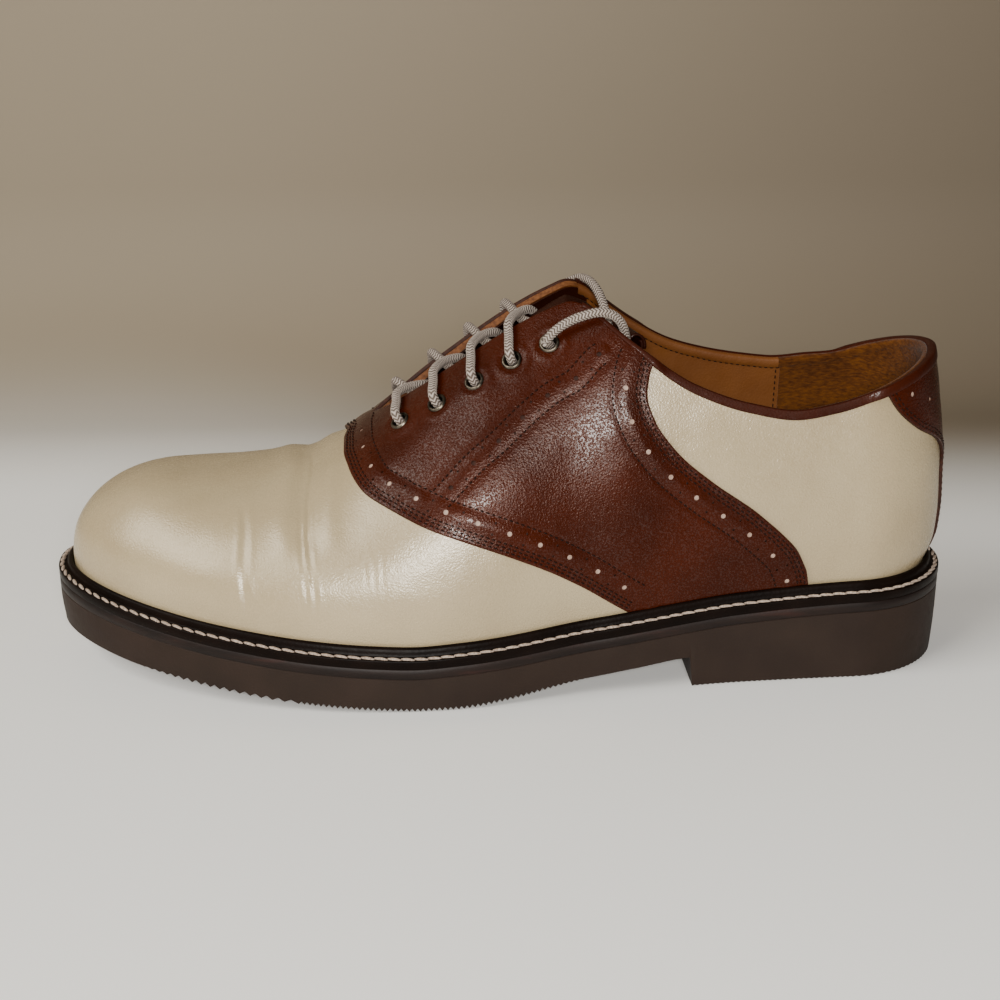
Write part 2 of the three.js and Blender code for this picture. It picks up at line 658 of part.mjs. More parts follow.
// Tongue: a strip under the throat, held up against the vamp at its front end
function tongueSkin() {
  const target = skin();
  for (const [side, column] of [[OUTER, "outer"], [INNER, "inner"]]) {
    const rows = Array.from({ length: TONGUE_STEPS + 1 }, (_, step) => {
      const at = step / TONGUE_STEPS;
      const k = sectionAt(read(TONGUE, "section", at) * SOLE_LENGTH);
      const form = sectionOf(k);
      const reach = form.half - WELT_WIDTH + UPPER_BULGE - side * form.shift;
      const low = Math.acos(clamp(read(TONGUE, column, at) * TONGUE_WIDTH / reach) ** (1 / form.sides));
      const depth = UPPER_WALL + read(TONGUE, "drop", at) * LACE_DIAMETER;
      const ridge = upperNormal(k, side, QUARTER).add(upperNormal(k, -side, QUARTER)).normalize();
      return Array.from({ length: TONGUE_LINES + 1 }, (_unused, line) => {
        const angle = mix(low, QUARTER, line / TONGUE_LINES);
        const upright = Math.sqrt(line / TONGUE_LINES);
        const normal = upperNormal(k, side, angle).lerp(ridge, upright).normalize();
        const point = upperPoint(k, side, angle).addScaledVector(normal, -depth);
        point.x -= read(TONGUE, "back", at) * TONGUE_CURL;
        point.z -= read(TONGUE, "down", at) * TONGUE_CURL;
        return point;
      });
    });
    addGrid(target, rows, side);
  }
  return target;
}

// Eyelet places: a row at a fixed distance from the facing's edge, first at the throat's base
function eyeletPlace(index, side) {
  const k = sectionAt(FIRST_EYELET * SOLE_LENGTH - index * EYELET_SPACING);
  const top = topAngle(k, side);
  let angle = top;
  let run = 0;
  while (run < EYELET_EDGE) {
    const next = angle - QUARTER / FACING_SLICES;
    run += upperPoint(k, side, angle).distanceTo(upperPoint(k, side, next));
    angle = next;
  }
  return { point: upperPoint(k, side, angle), normal: upperNormal(k, side, angle) };
}

const UP = new THREE.Vector3(0, 1, 0);
const turnedNormal = (normal) => new THREE.Vector3(-normal.x, normal.y, normal.z);

function placeOn(target, { point, normal }) {
  target.position.copy(inFrame(point));
  target.quaternion.setFromUnitVectors(UP, turnedNormal(normal));
  target.updateMatrixWorld(true);
  return target;
}

function eyeletGeometry() {
  const flangeTop = OVERLAY_TOP + FIT_GAP + EYELET_FLANGE_THICKNESS;
  const foot = -UPPER_WALL - FIT_GAP;
  const round = EYELET_FLANGE_THICKNESS / 2;
  const profile = [
    [EYELET_BORE_RADIUS, foot],
    [EYELET_BARREL_RADIUS, foot],
    [EYELET_BARREL_RADIUS, OVERLAY_TOP + FIT_GAP],
    [EYELET_FLANGE_RADIUS, OVERLAY_TOP + FIT_GAP],
    [EYELET_FLANGE_RADIUS - round, flangeTop],
    [EYELET_BORE_RADIUS, flangeTop - round],
    [EYELET_BORE_RADIUS, foot],
  ];
  return new THREE.LatheGeometry(profile.map(([x, y]) => new THREE.Vector2(x, y)), EYELET_SIDES);
}

// Joining and cutting of closed bodies
function solidOf(geometry, matrix) {
  let plain = geometry.clone();
  if (matrix) plain.applyMatrix4(matrix);
  plain.deleteAttribute("normal");
  plain.deleteAttribute("uv");
  plain = mergeVertices(plain, WELD);
  return new wasm.Manifold(new wasm.Mesh({
    numProp: 3,
    vertProperties: new Float32Array(plain.attributes.position.array),
    triVerts: new Uint32Array(plain.index.array),
  }));
}

function geometryOf(solid) {
  const mesh = solid.getMesh();
  const geometry = new THREE.BufferGeometry();
  geometry.setAttribute("position", new THREE.BufferAttribute(new Float32Array(mesh.vertProperties), 3));
  geometry.setIndex(new THREE.BufferAttribute(new Uint32Array(mesh.triVerts), 1));
  return geometry;
}

function withEyeletHoles(geometry, places) {
  const depth = 4 * (UPPER_WALL + OVERLAY_TOP);
  const drill = new THREE.CylinderGeometry(
    EYELET_BARREL_RADIUS + FIT_GAP, EYELET_BARREL_RADIUS + FIT_GAP, depth, EYELET_SIDES);
  let solid = solidOf(geometry);
  for (const spot of places) {
    const tool = placeOn(new THREE.Object3D(), spot);
    solid = solid.subtract(solidOf(drill, tool.matrixWorld));
  }
  return geometryOf(solid);
}

// Lace: a round cord swept along hand-placed points
function cord(points, steps, halfSides) {
  const path = new THREE.CatmullRomCurve3(points.map(inFrame), false, "centripetal");
  const section = new THREE.Shape().absarc(0, 0, LACE_DIAMETER / 2, 0, 4 * QUARTER);
  return new THREE.ExtrudeGeometry(section, { steps, extrudePath: path, curveSegments: halfSides });
}

const LACE_RADIUS = LACE_DIAMETER / 2;
const LACE_CLEAR = OVERLAY_TOP + FIT_GAP + LACE_RADIUS;
const MOUTH = OVERLAY_TOP + FIT_GAP + EYELET_FLANGE_THICKNESS + FIT_GAP;
const lifted = ({ point, normal }, height) => point.clone().addScaledVector(normal, height);

function facingEdge(s, side) {
  const k = sectionAt(s);
  const top = topAngle(k, side);
  return { point: upperPoint(k, side, top), normal: upperNormal(k, side, top) };
}

// One strand: out of an eyelet, over its facing, across the throat and down to the other facing
function strand({ point, normal, side }, crossLift) {
  const s = point.x;
  const start = { point, normal };
  const near = facingEdge(s - LACE_RADIUS / 2, side);
  const cross = s - LACE_DIAMETER;
  const middle = lifted(facingEdge(cross, OUTER), crossLift).lerp(lifted(facingEdge(cross, INNER), crossLift), 0.5);
  const far = facingEdge(s - 2 * LACE_DIAMETER, -side);
  const farEnd = lifted(far, -UPPER_WALL - LACE_RADIUS).lerp(middle, 0.25);
  const lean = near.point.clone().sub(point).normalize();
  return [
    lifted(start, MOUTH + LACE_RADIUS * 0.8),
    lifted(start, MOUTH + LACE_RADIUS * 1.6).addScaledVector(lean, LACE_RADIUS),
    lifted(start, LACE_CLEAR + FIT_GAP * 2).lerp(lifted(near, LACE_CLEAR + FIT_GAP), 0.5),
    lifted(near, LACE_CLEAR + FIT_GAP),
    middle,
    farEnd,
  ];
}

// Free ends of the lace: from the top eyelets over the topline and down inside the shoe, as points
// along, across and up from the heel's back
const LACE_ENDS = {
  outer: [
    [139.9, -21.0, 114.4], [136.6, -21.4, 118.1], [132.4, -21.6, 120.9], [127.6, -21.9, 122.9],
    [122.8, -21.5, 123.8], [118.5, -20.2, 122.8], [115.2, -18.5, 119.6], [113.5, -17.0, 115.2],
    [113.0, -16.0, 110.5], [112.9, -15.5, 105.8], [112.9, -15.4, 101.4],
  ],
  inner: [
    [138.2, 18.9, 113.9], [136.0, 20.3, 117.6], [132.7, 20.2, 121.5], [128.8, 17.9, 125.2],
    [125.4, 13.8, 127.4], [122.9, 8.8, 127.6], [121.0, 3.8, 126.0], [119.6, -1.0, 123.2],
    [118.6, -5.6, 119.4], [117.9, -9.4, 114.9], [117.5, -11.6, 109.8], [117.4, -12.2, 104.6],
  ],
};

function laceEnd(label) {
  return cord(LACE_ENDS[label].map((point) => new THREE.Vector3(...point)), END_STEPS, ROUND_HALF_SIDES);
}

// Metal tip that closes each end of the lace
function laceTip(label) {
  const [before, end] = LACE_ENDS[label].slice(-2).map((point) => new THREE.Vector3(...point));
  const along = end.clone().sub(before).normalize();
  const from = end.clone().addScaledVector(along, FIT_GAP);
  const to = from.clone().addScaledVector(along, TIP_LENGTH);
  const path = new THREE.LineCurve3(inFrame(from), inFrame(to));
  const section = new THREE.Shape().absarc(0, 0, TIP_DIAMETER / 2, 0, 4 * QUARTER);
  return new THREE.ExtrudeGeometry(section, { steps: 1, extrudePath: path, curveSegments: ROUND_HALF_SIDES });
}

function crossing(outer, inner) {
  const over = solidOf(cord(strand(outer, LACE_RADIUS * 0.6), STRAND_STEPS, CORD_HALF_SIDES));
  const under = solidOf(cord(strand(inner, -LACE_RADIUS), STRAND_STEPS, CORD_HALF_SIDES));
  return geometryOf(over.add(under));
}

const finishes = {
  rubber: { color: 0x3e302a, roughness: 0.75 },
  welt: { color: 0x281c18, roughness: 0.5 },
  cream: { color: 0xc8bea5, roughness: 0.3 },
  brown: { color: 0x5a2d1e, roughness: 0.4 },
  tan: { color: 0x965f2d, roughness: 0.6 },
  brass: { color: 0x4a4238, roughness: 0.4, metalness: 1 },
  lace: { color: 0xb9a998, roughness: 0.9 },
};

const shoe = new THREE.Group();

function add(name, geometry, finish) {
  geometry.computeVertexNormals();
  const mesh = new THREE.Mesh(geometry, new THREE.MeshStandardMaterial(finishes[finish]));
  mesh.name = name;
  shoe.add(mesh);
  return mesh;
}

const eyelets = [];
for (const [side, label] of [[OUTER, "outer"], [INNER, "inner"]]) {
  for (let i = 0; i < EYELET_COUNT; i += 1) {
    eyelets.push({ side, index: i, name: `eyelet_${label}_${i + 1}`, ...eyeletPlace(i, side) });
  }
}

add("outsole", outsole(), "rubber");
add("midsole", midsole(), "welt");
add("welt", welt(), "welt");
add("insole", insole(), "tan");
add("upper", withEyeletHoles(thicken(upperSkin(), -UPPER_WALL, 0), eyelets), "cream");
add("saddle", withEyeletHoles(thicken(saddleSkin(), OVERLAY_GAP, OVERLAY_TOP), eyelets), "brown");
add("backstay", thicken(backstaySkin(), OVERLAY_GAP, OVERLAY_TOP), "brown");
add("binding_outer", binding(OUTER), "brown");
add("binding_inner", binding(INNER), "brown");
add("tongue", thicken(tongueSkin(), -TONGUE_THICKNESS, 0), "brown");
for (const eyelet of eyelets) placeOn(add(eyelet.name, eyeletGeometry(), "brass"), eyelet);
for (let i = 0; i + 1 < EYELET_COUNT; i += 1) {
  add(`lace_crossing_${i + 1}`, crossing(eyelets[i], eyelets[EYELET_COUNT + i]), "lace");
}

for (const label of Object.keys(LACE_ENDS)) {
  add(`lace_end_${label}`, laceEnd(label), "lace");
  add(`lace_tip_${label}`, laceTip(label), "brass");
}

export default shoe;
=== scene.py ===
"""Left saddle shoe in cream and brown leather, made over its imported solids.

Shoe coordinates are millimetres: length from the heel's back, across with the inner side
positive, and height from the floor. in_frame() takes them to the row's frame in metres.
"""
import math
from functools import lru_cache

import bmesh
import bpy
from mathutils import Matrix, Vector, kdtree, noise
from mathutils.geometry import interpolate_bezier


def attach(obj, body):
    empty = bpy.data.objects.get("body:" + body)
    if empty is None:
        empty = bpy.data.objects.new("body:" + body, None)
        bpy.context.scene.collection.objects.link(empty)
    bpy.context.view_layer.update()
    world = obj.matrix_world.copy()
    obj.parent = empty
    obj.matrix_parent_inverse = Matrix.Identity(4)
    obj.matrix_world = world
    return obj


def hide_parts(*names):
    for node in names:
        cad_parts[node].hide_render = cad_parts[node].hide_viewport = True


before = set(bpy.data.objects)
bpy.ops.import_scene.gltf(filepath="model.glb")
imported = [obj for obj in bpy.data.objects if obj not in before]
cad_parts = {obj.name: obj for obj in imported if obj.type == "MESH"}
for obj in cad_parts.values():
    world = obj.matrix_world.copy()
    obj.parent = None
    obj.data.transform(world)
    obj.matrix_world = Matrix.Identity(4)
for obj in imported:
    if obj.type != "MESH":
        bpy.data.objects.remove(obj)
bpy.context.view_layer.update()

MM = 0.001
QUARTER = math.pi / 2
OUTER, INNER = -1, 1
SIDES = {"outer": OUTER, "inner": INNER}
LABELS = {OUTER: "outer", INNER: "inner"}

# Sizes of the last and the sole
SOLE_LENGTH = 306.0
BALL_WIDTH = 111.0
INSTEP_HEIGHT = 130.5
COLLAR_HEIGHT = 91.5
HEEL_TOP_HEIGHT = 108.0
SEAT_HEIGHT = 31.0
FOREPART_HEIGHT = 18.5
TOE_SPRING = 13.5
HEEL_LENGTH = 92.0
HEEL_BREAST = 10.4
HEEL_ROUND = 36.0
TOE_ROUND = 84.0
TOE_SQUARENESS = 2.25
TOE_BOX_LENGTH = 40.0
TOE_BOX_SQUARENESS = 2.2
FIT_GAP = 0.3
WELT_WIDTH = 5.5
WELT_THICKNESS = 3.0
LIP_HEIGHT = 3.1
MIDSOLE_THICKNESS = 3.2
MIDSOLE_EDGE = 0.12
UPPER_WALL = 2.2
UPPER_BULGE = 2.4
BULGE_HEIGHT = 24.0
THROAT_GAP = 20.0
THROAT_CORNER = 8.0
THROAT_BASE = 0.64
THROAT_SHIFT = 0.44
CORNER_START, CORNER_END = 0.30, 0.46
TONGUE_WIDTH = 46.0
TONGUE_CURL = 16.0
EYELET_SPACING = 12.1
EYELET_EDGE = 12.5
FIRST_EYELET = 0.610
EYELET_COUNT = 5
LACE = 3.2
HEEL_SHARE, TOE_SHARE = 0.16, 0.70
LEATHER = 1.3
OVERLAY_GAP = 0.08
OVERLAY_FOOT = WELT_THICKNESS + LIP_HEIGHT + 0.15

# Stitches and punched holes, by their distance from an edge or a band's middle
STITCH_ROWS = (1.3, 2.5, 3.7, 11.2)
BACKSTAY_ROWS = (1.2, 2.5)
HOLE_ROW = 7.1
STAY_SEAM = 3.6
SMALL_PAIR = 1.9

# Punches: radius, sides and depth, then how high they start and how much shallower some are
LARGE_HOLE, SMALL_HOLE, DARK_HOLE = (0.85, 14, 5.0), (0.42, 8, 5.0), (0.8, 14, 5.0)
EYELET_BORE = (2.5, 20, 14)
HOLE_LIFT, SHALLOW = 0.7, 2.2

# Relief of the saddle: the band between its stitches swells and its seams are drawn down
SWELL_START, SWELL_WIDTH, SWELL = 4.0, 6.6, 0.24
BAND_SWELL, SEAM_DRAW = 0.10, 0.16

# Places along the shoe: the lining's seam, where the painted shade inside the throat starts on the
# lining, and the creased vamp
SEAM_AT = 53.5
THROAT_SHADE_START = 123.0
VAMP_START, VAMP_END = 184, 250
TOPLINE_END_SHARE = 0.415

# Tread: where teeth and ribs run, over what length the teeth fade, and how deep they are cut
TREAD_START, TREAD_END, TREAD_FADE = 118, 284, 30
RIB_START, RIB_END, RIB_INSET = 122, 268, 4
TOOTH, HEEL_TOOTH, RIB = 1.3, 0.45, 0.9

# Laces: how far behind its eyelet a strand passes the near edge, the middle and the far edge
NEAR_BACK, CROSS_BACK, FAR_BACK = 0.8, 3.4, 7.0
OUTER_OVER, INNER_UNDER = 0.34, -0.56
BRAID_PITCH = 1.1
BRAID_RIBS = 4

OUTLINE = {
    "at": (0.00, 0.12, 0.25, 0.40, 0.52, 0.61, 0.71, 0.80, 0.90, 1.00),
    "centre": (0.000, -0.010, -0.035, -0.075, -0.079, -0.052, -0.005, 0.030, 0.062, 0.085),
    "half": (0.335, 0.335, 0.330, 0.345, 0.411, 0.462, 0.492, 0.478, 0.445, 0.400),
}
PROFILE = {
    "at": (0.00, 0.10, 0.25, 0.30, 0.36, 0.42, 0.50, 0.56, 0.60, 0.64, 0.70, 0.80, 0.90, 1.00),
    "lift": (1.0, 0.983, 0.783, 0.660, 0.495, 0.325, 0.130, 0.045, 0, 0, 0, 0, 0, 0),
    "arch": (1.0, 1.0, 1.0, 1.0, 0.80, 0.55, 0.15, 0, 0, 0, 0, 0, 0, 0),
    "spring": (0, 0, 0, 0, 0, 0, 0, 0, 0, 0.04, 0.14, 0.37, 0.65, 1.0),
}
LAST = {
    "at": (0, 0.12, 0.25, 0.36, 0.44, 0.50, 0.56, 0.60, 0.64, 0.68, 0.73, 0.78, 0.85, 1.0),
    "ridge": (0, 0.010, 0.035, 0.085, 0.110, 0.120, 0.115, 0.105, 0.090, 0.075, 0.055, 0.042,
              0.025, 0),
    "crown": (1.149, 1.149, 1.134, 1.088, 1.000, 0.904, 0.793, 0.713, 0.636, 0.575, 0.536,
              0.516, 0.506, 0.517),
    "sides": (1.10, 1.10, 1.15, 1.20, 1.20, 1.15, 1.10, 1.05, 1.00, 0.96, 0.92, 0.90, 0.87, 0.85),
    "top": (1.0, 1.0, 1.0, 1.0, 1.0, 1.0, 1.0, 0.98, 0.95, 0.92, 0.90, 0.88, 0.86, 0.85),
}
BACK_CURVE = {
    "at": (0.00, 0.05, 0.08, 0.13, 0.23, 0.35, 0.50, 0.63, 0.74, 1.11),
    "inset": (0.153, 0.150, 0.108, 0.066, 0.050, 0.056, 0.104, 0.161, 0.228, 0.472),
}
TOPLINE = {
    "at": (0.000, 0.050, 0.100, 0.145, 0.190, 0.240, 0.300, 0.350, 0.400, 0.460),
    "outer": (1.0, 1.0, 1.0, 1.0, 1.0, 1.028, 1.099, 1.204, 1.331, 1.525),
    "inner": (1.0, 1.0, 1.0, 1.030, 1.045, 1.072, 1.127, 1.221, 1.354, 1.558),
    "heel": (1.0, 0.68, 0.37, 0.12, 0, 0, 0, 0, 0, 0),
}
THROAT = {
    "at": (0.400, 0.500, 0.560, 0.600, 0.625, 0.640),
    "open": (0.50, 0.47, 0.43, 0.33, 0.19, 0.00),
}
SADDLE = {
    "at": (0.00, 0.03, 0.08, 0.14, 0.21, 0.29, 0.37, 0.45, 0.56, 0.66, 0.72, 0.81, 0.91, 1.00),
    "front": (0.372, 0.386, 0.412, 0.450, 0.494, 0.542, 0.585, 0.620, 0.652, 0.664, 0.668,
              0.672, 0.672, 0.668),
    "rear": (0.172, 0.173, 0.175, 0.180, 0.187, 0.201, 0.219, 0.241, 0.284, 0.326, 0.343,
             0.352, 0.349, 0.343),
}
EYESTAY = {
    "at": (0.0, 0.17, 0.33, 0.50, 0.66, 0.83, 1.0),
    "length": (0.398, 0.431, 0.457, 0.484, 0.508, 0.534, 0.572),
    "height": (0.84, 0.69, 0.65, 0.61, 0.57, 0.535, 0.455),
}
BACKSTAY = {
    "at": (0, 0.40, 0.455, 0.525, 0.605, 0.70, 0.85, 1),
    "turn": (0.11, 0.11, 0.14, 0.24, 0.39, 0.58, 0.76, 0.86),
}
TONGUE = {
    "at": (0.00, 0.08, 0.16, 0.25, 0.60, 0.88, 1.00),
    "section": (0.440, 0.440, 0.440, 0.440, 0.540, 0.625, 0.655),
    "drop": (1.45, 1.45, 1.45, 1.40, 1.24, 0.70, 0.16),
    "outer": (0.30, 0.34, 0.42, 0.50, 0.54, 0.48, 0.42),
    "inner": (0.24, 0.28, 0.32, 0.38, 0.38, 0.36, 0.34),
    "back": (1.00, 0.70, 0.36, 0, 0, 0, 0),
    "down": (0.78, 0.40, 0.12, 0, 0, 0, 0),
}
TONGUE_ROLL = ((115.5, 10.0, 107.5), (114.8, 4.0, 110.5), (113.0, -2.0, 111.0), (110.9, -8.0, 110.6),
               (109.2, -13.0, 110.4))
FREE_ENDS = {
    "outer": (
        (139.9, -21.0, 114.4), (136.6, -21.4, 118.1), (132.4, -21.6, 120.9), (127.6, -21.9, 122.9),
        (122.8, -21.5, 123.8), (118.5, -20.2, 122.8), (115.2, -18.5, 119.6), (113.5, -17.0, 115.2),
        (113.0, -16.0, 110.5), (112.9, -15.5, 105.8), (112.9, -15.4, 101.4)),
    "inner": (
        (138.2, 18.9, 113.9), (136.0, 20.3, 117.6), (132.7, 20.2, 121.5), (128.8, 17.9, 125.2),
        (125.4, 13.8, 127.4), (122.9, 8.8, 127.6), (121.0, 3.8, 126.0), (119.6, -1.0, 123.2),
        (118.6, -5.6, 119.4), (117.9, -9.4, 114.9), (117.5, -11.6, 109.8), (117.4, -12.2, 104.6)),
}


def clamp(value):
    return min(max(value, 0.0), 1.0)


def ease(value):
    return clamp(value) ** 2 * (3 - 2 * clamp(value))


def mix(a, b, share):
    return a + (b - a) * share


def steps(start, end, count):
    return [mix(start, end, i / count) for i in range(count + 1)]


def hump(value, middle, width):
    return math.exp(-((value - middle) / width) ** 2)


SLOPES = {}


def slopes_of(table, column):
    """Slopes of a column at its rows, chosen so that the curve never overshoots."""
    key = (id(table), column)
    if key not in SLOPES:
        at, value = table["at"], table[column]
        rise = [(value[i + 1] - value[i]) / (at[i + 1] - at[i]) for i in range(len(at) - 1)]
        found = [rise[0]]
        for i in range(1, len(at) - 1):
            a, b = at[i] - at[i - 1], at[i + 1] - at[i]
            level = rise[i - 1] * rise[i] <= 0
            found.append(0.0 if level else
                         (3 * a + 3 * b) / ((2 * b + a) / rise[i - 1] + (b + 2 * a) / rise[i]))
        SLOPES[key] = found + [rise[-1]]
    return SLOPES[key]


def read(table, column, at):
    rows, value, slope = table["at"], table[column], slopes_of(table, column)
    at = min(max(at, rows[0]), rows[-1])
    i = 0
    while i < len(rows) - 2 and at > rows[i + 1]:
        i += 1
    width = rows[i + 1] - rows[i]
    t = (at - rows[i]) / width
    return (value[i] * (1 + 2 * t) * (1 - t) ** 2 + slope[i] * width * t * (1 - t) ** 2
            + value[i + 1] * t * t * (3 - 2 * t) - slope[i + 1] * width * t * t * (1 - t))


def place(k, inset):
    """Length and share of the width at a section, 0 at the heel's back and 1 at the toe's tip."""
    if k < HEEL_SHARE:
        turn = QUARTER * k / HEEL_SHARE
        return HEEL_ROUND - (HEEL_ROUND - inset) * math.cos(turn), math.sin(turn)
    if k < TOE_SHARE:
        share = (k - HEEL_SHARE) / (TOE_SHARE - HEEL_SHARE)
        return mix(HEEL_ROUND, SOLE_LENGTH - TOE_ROUND, share), 1.0
    turn = QUARTER * min((k - TOE_SHARE) / (1 - TOE_SHARE), 1.0)
    power = 2 / TOE_SQUARENESS
    s = SOLE_LENGTH - TOE_ROUND + (TOE_ROUND - inset) * math.sin(turn) ** power
    return s, 0.0 if k >= 1 else math.cos(turn) ** power


def section_at(s):
    return mix(HEEL_SHARE, TOE_SHARE, (s - HEEL_ROUND) / (SOLE_LENGTH - TOE_ROUND - HEEL_ROUND))


def edge(k, side, inset):
    s, wide = place(k, inset)
    centre = read(OUTLINE, "centre", s / SOLE_LENGTH) * BALL_WIDTH
    half = read(OUTLINE, "half", s / SOLE_LENGTH) * BALL_WIDTH - inset
    return s, centre + side * half * wide


def spring(s):
    return read(PROFILE, "spring", s / SOLE_LENGTH) * TOE_SPRING


def welt_top(s):
    return mix(FOREPART_HEIGHT, SEAT_HEIGHT, read(PROFILE, "lift", s / SOLE_LENGTH)) + spring(s)


def feather(s):
    return welt_top(s) - WELT_THICKNESS


def midsole_top(s):
    return feather(s) - FIT_GAP


def outsole_top(s):
    return midsole_top(s) - MIDSOLE_THICKNESS - FIT_GAP


def tread_height(s):
    arch = read(PROFILE, "arch", s / SOLE_LENGTH) * HEEL_BREAST + spring(s)
    return arch * clamp(s - HEEL_LENGTH + 0.5)


@lru_cache(maxsize=None)
def section_of(k):
    s, wide = place(k, WELT_WIDTH)
    at = s / SOLE_LENGTH
    into = clamp((s - (SOLE_LENGTH - WELT_WIDTH - TOE_BOX_LENGTH)) / TOE_BOX_LENGTH)
    box = max(1 - into ** TOE_BOX_SQUARENESS, 0.0) ** (1 / TOE_BOX_SQUARENESS)
    return {
        "at": at, "base": feather(s), "wide": wide,
        "crown": (read(LAST, "crown", at) * INSTEP_HEIGHT - feather(s)) * box,
        "sides": read(LAST, "sides", at), "top": read(LAST, "top", at),
        "centre": read(OUTLINE, "centre", at) * BALL_WIDTH,
        "half": read(OUTLINE, "half", at) * BALL_WIDTH,
        "shift": read(LAST, "ridge", at) * BALL_WIDTH,
    }


def bare_point(k, side, angle):
    """Point of the last's leather face, from the feather line (0) to the ridge (QUARTER)."""
    form = section_of(k)
    height = form["crown"] * max(math.sin(angle), 0.0) ** form["top"]
    inset = WELT_WIDTH - UPPER_BULGE * ease(height / BULGE_HEIGHT)
    s, wide = place(k, inset)
    if k < HEEL_SHARE:
        back = read(BACK_CURVE, "inset", height / HEEL_TOP_HEIGHT) * HEEL_ROUND
        s = HEEL_ROUND - (HEEL_ROUND - back) * math.cos(QUARTER * k / HEEL_SHARE)
    reach = (form["half"] - inset - side * form["shift"]) * wide
    reach *= max(math.cos(angle), 0.0) ** form["sides"]
    return Vector((s, form["centre"] + form["shift"] * wide + side * reach, form["base"] + height))


@lru_cache(maxsize=None)
def angle_at(k, height):
    form = section_of(k)
    return math.asin(clamp(height / form["crown"]) ** (1 / form["top"]))


def angle_beside(form, side, width):
    """Angle at which the leather face lies a width away from the ridge."""
    reach = form["half"] - WELT_WIDTH + UPPER_BULGE - side * form["shift"]
    return math.acos(clamp(width / reach) ** (1 / form["sides"]))


@lru_cache(maxsize=None)
def top_angle(k, side):
    form = section_of(k)
    if form["at"] > THROAT_BASE - 1e-9:
        return QUARTER
    heel = read(TOPLINE, "heel", form["at"]) * (HEEL_TOP_HEIGHT - COLLAR_HEIGHT)
    collar = read(TOPLINE, LABELS[side], form["at"]) * COLLAR_HEIGHT + heel - form["base"]
    if form["at"] < CORNER_START:
        return angle_at(k, collar)
    gap = read(THROAT, "open", form["at"]) * THROAT_GAP * (1 - side * THROAT_SHIFT)
    facing = form["crown"] * math.sin(angle_beside(form, side, gap)) ** form["top"]
    if form["at"] >= CORNER_END:
        return angle_at(k, facing)
    blend = clamp(0.5 + 0.5 * (facing - collar) / THROAT_CORNER)
    return angle_at(k, mix(facing, collar, blend) - THROAT_CORNER * blend * (1 - blend))


def one_normal(k, side, angle):
    along = (bare_point(min(k + 0.002, 1.0), side, angle)
             - bare_point(max(k - 0.002, 0.0), side, angle))
    up = bare_point(k, side, min(angle + 0.01, QUARTER)) - bare_point(k, side, angle - 0.01)
    return (along.cross(up) * -side).normalized()


def last_normal(k, side, angle):
    """Outward normal, shared by both sides where they meet at heel, toe and ridge."""
    normal = one_normal(k, side, angle)
    if angle > QUARTER - 1e-6 or k < 1e-6 or k > 1 - 1e-6:
        normal = (normal + one_normal(k, -side, angle)).normalized()
    return normal


# Creases of the vamp: side, where they cross the last low and high as shares of the length, the
# shares of the side that they run over, width and depth in millimetres
CREASES = (
    (OUTER, 0.7720, 0.7930, 0.05, 0.62, 1.1, 0.44),
    (OUTER, 0.7680, 0.7860, 0.20, 0.54, 0.8, 0.18),
    (OUTER, 0.7080, 0.7130, 0.34, 1.10, 4.4, 0.95),
    (OUTER, 0.7070, 0.7130, 0.12, 0.96, 0.8, 0.30),
    (OUTER, 0.7150, 0.7190, 0.14, 0.62, 0.7, 0.20),
    (OUTER, 0.6290, 0.6720, 0.16, 0.40, 0.7, 0.060),
    (OUTER, 0.6210, 0.6560, 0.16, 0.38, 0.6, 0.045),
    (OUTER, 0.6370, 0.6850, 0.18, 0.36, 0.6, 0.045),
    (INNER, 0.800, 0.790, 0.12, 0.70, 1.2, 0.34),
    (INNER, 0.722, 0.714, 0.16, 1.10, 4.4, 0.95),
    (INNER, 0.733, 0.716, 0.20, 0.84, 1.1, 0.28),
    (INNER, 0.664, 0.680, 0.16, 0.50, 1.4, 0.24),
)


# Ridges along a crease, as shares of its depth and width: height, distance and width
FLANK_HEIGHT, FLANK_AWAY, FLANK_WIDTH = 0.55, 1.7, 0.8


def creasing(at, side, share):
    """Height that wear adds to the leather: soft troughs with a ridge along each flank."""
    total = 0.0
    for crease_side, low_at, high_at, low, high, width, depth in CREASES:
        if crease_side != side or not low - 0.12 < share < high + 0.12:
            continue
        line = mix(low_at, high_at, share) + 0.0035 * math.sin(9.0 * share + 40.0 * low_at)
        away = (at - line) * SOLE_LENGTH / width
        if abs(away) > 4:
            continue
        reach = ease((share - low) / 0.14) * ease((high - share) / 0.14 + 0.3)
        flank = FLANK_HEIGHT * hump(abs(away), FLANK_AWAY, FLANK_WIDTH)
        total += depth * reach * (flank - hump(away, 0, 1))
    return total


@lru_cache(maxsize=None)
def last_point(k, side, angle, lift):
    """Point at a distance from the last's leather face, with the wear of the leather on it."""
    point = bare_point(k, side, angle)
    share = angle / QUARTER
    at = point.x / SOLE_LENGTH
    wave = noise.noise(point * 0.045) * 0.35 + noise.noise(point * 0.12) * 0.12
    hold = ease(share * 5)
    fold = creasing(at, side, share)
    if share > 0.85:
        fold += (creasing(at, -side, share) - fold) / 2 * ease((share - 0.85) / 0.15)
    return point + last_normal(k, side, angle) * (lift + hold * (fold + wave))


OUTLINE_REACH = [edge(i / 200, side, 0)[1] for i in range(201) for side in (OUTER, INNER)]
MIDDLE = (max(OUTLINE_REACH) + min(OUTLINE_REACH)) / 2


def in_frame(point):
    return Vector((SOLE_LENGTH / 2 - point[0], point[1] - MIDDLE, point[2])) * MM


def turned(normal):
    return Vector((-normal.x, normal.y, normal.z))


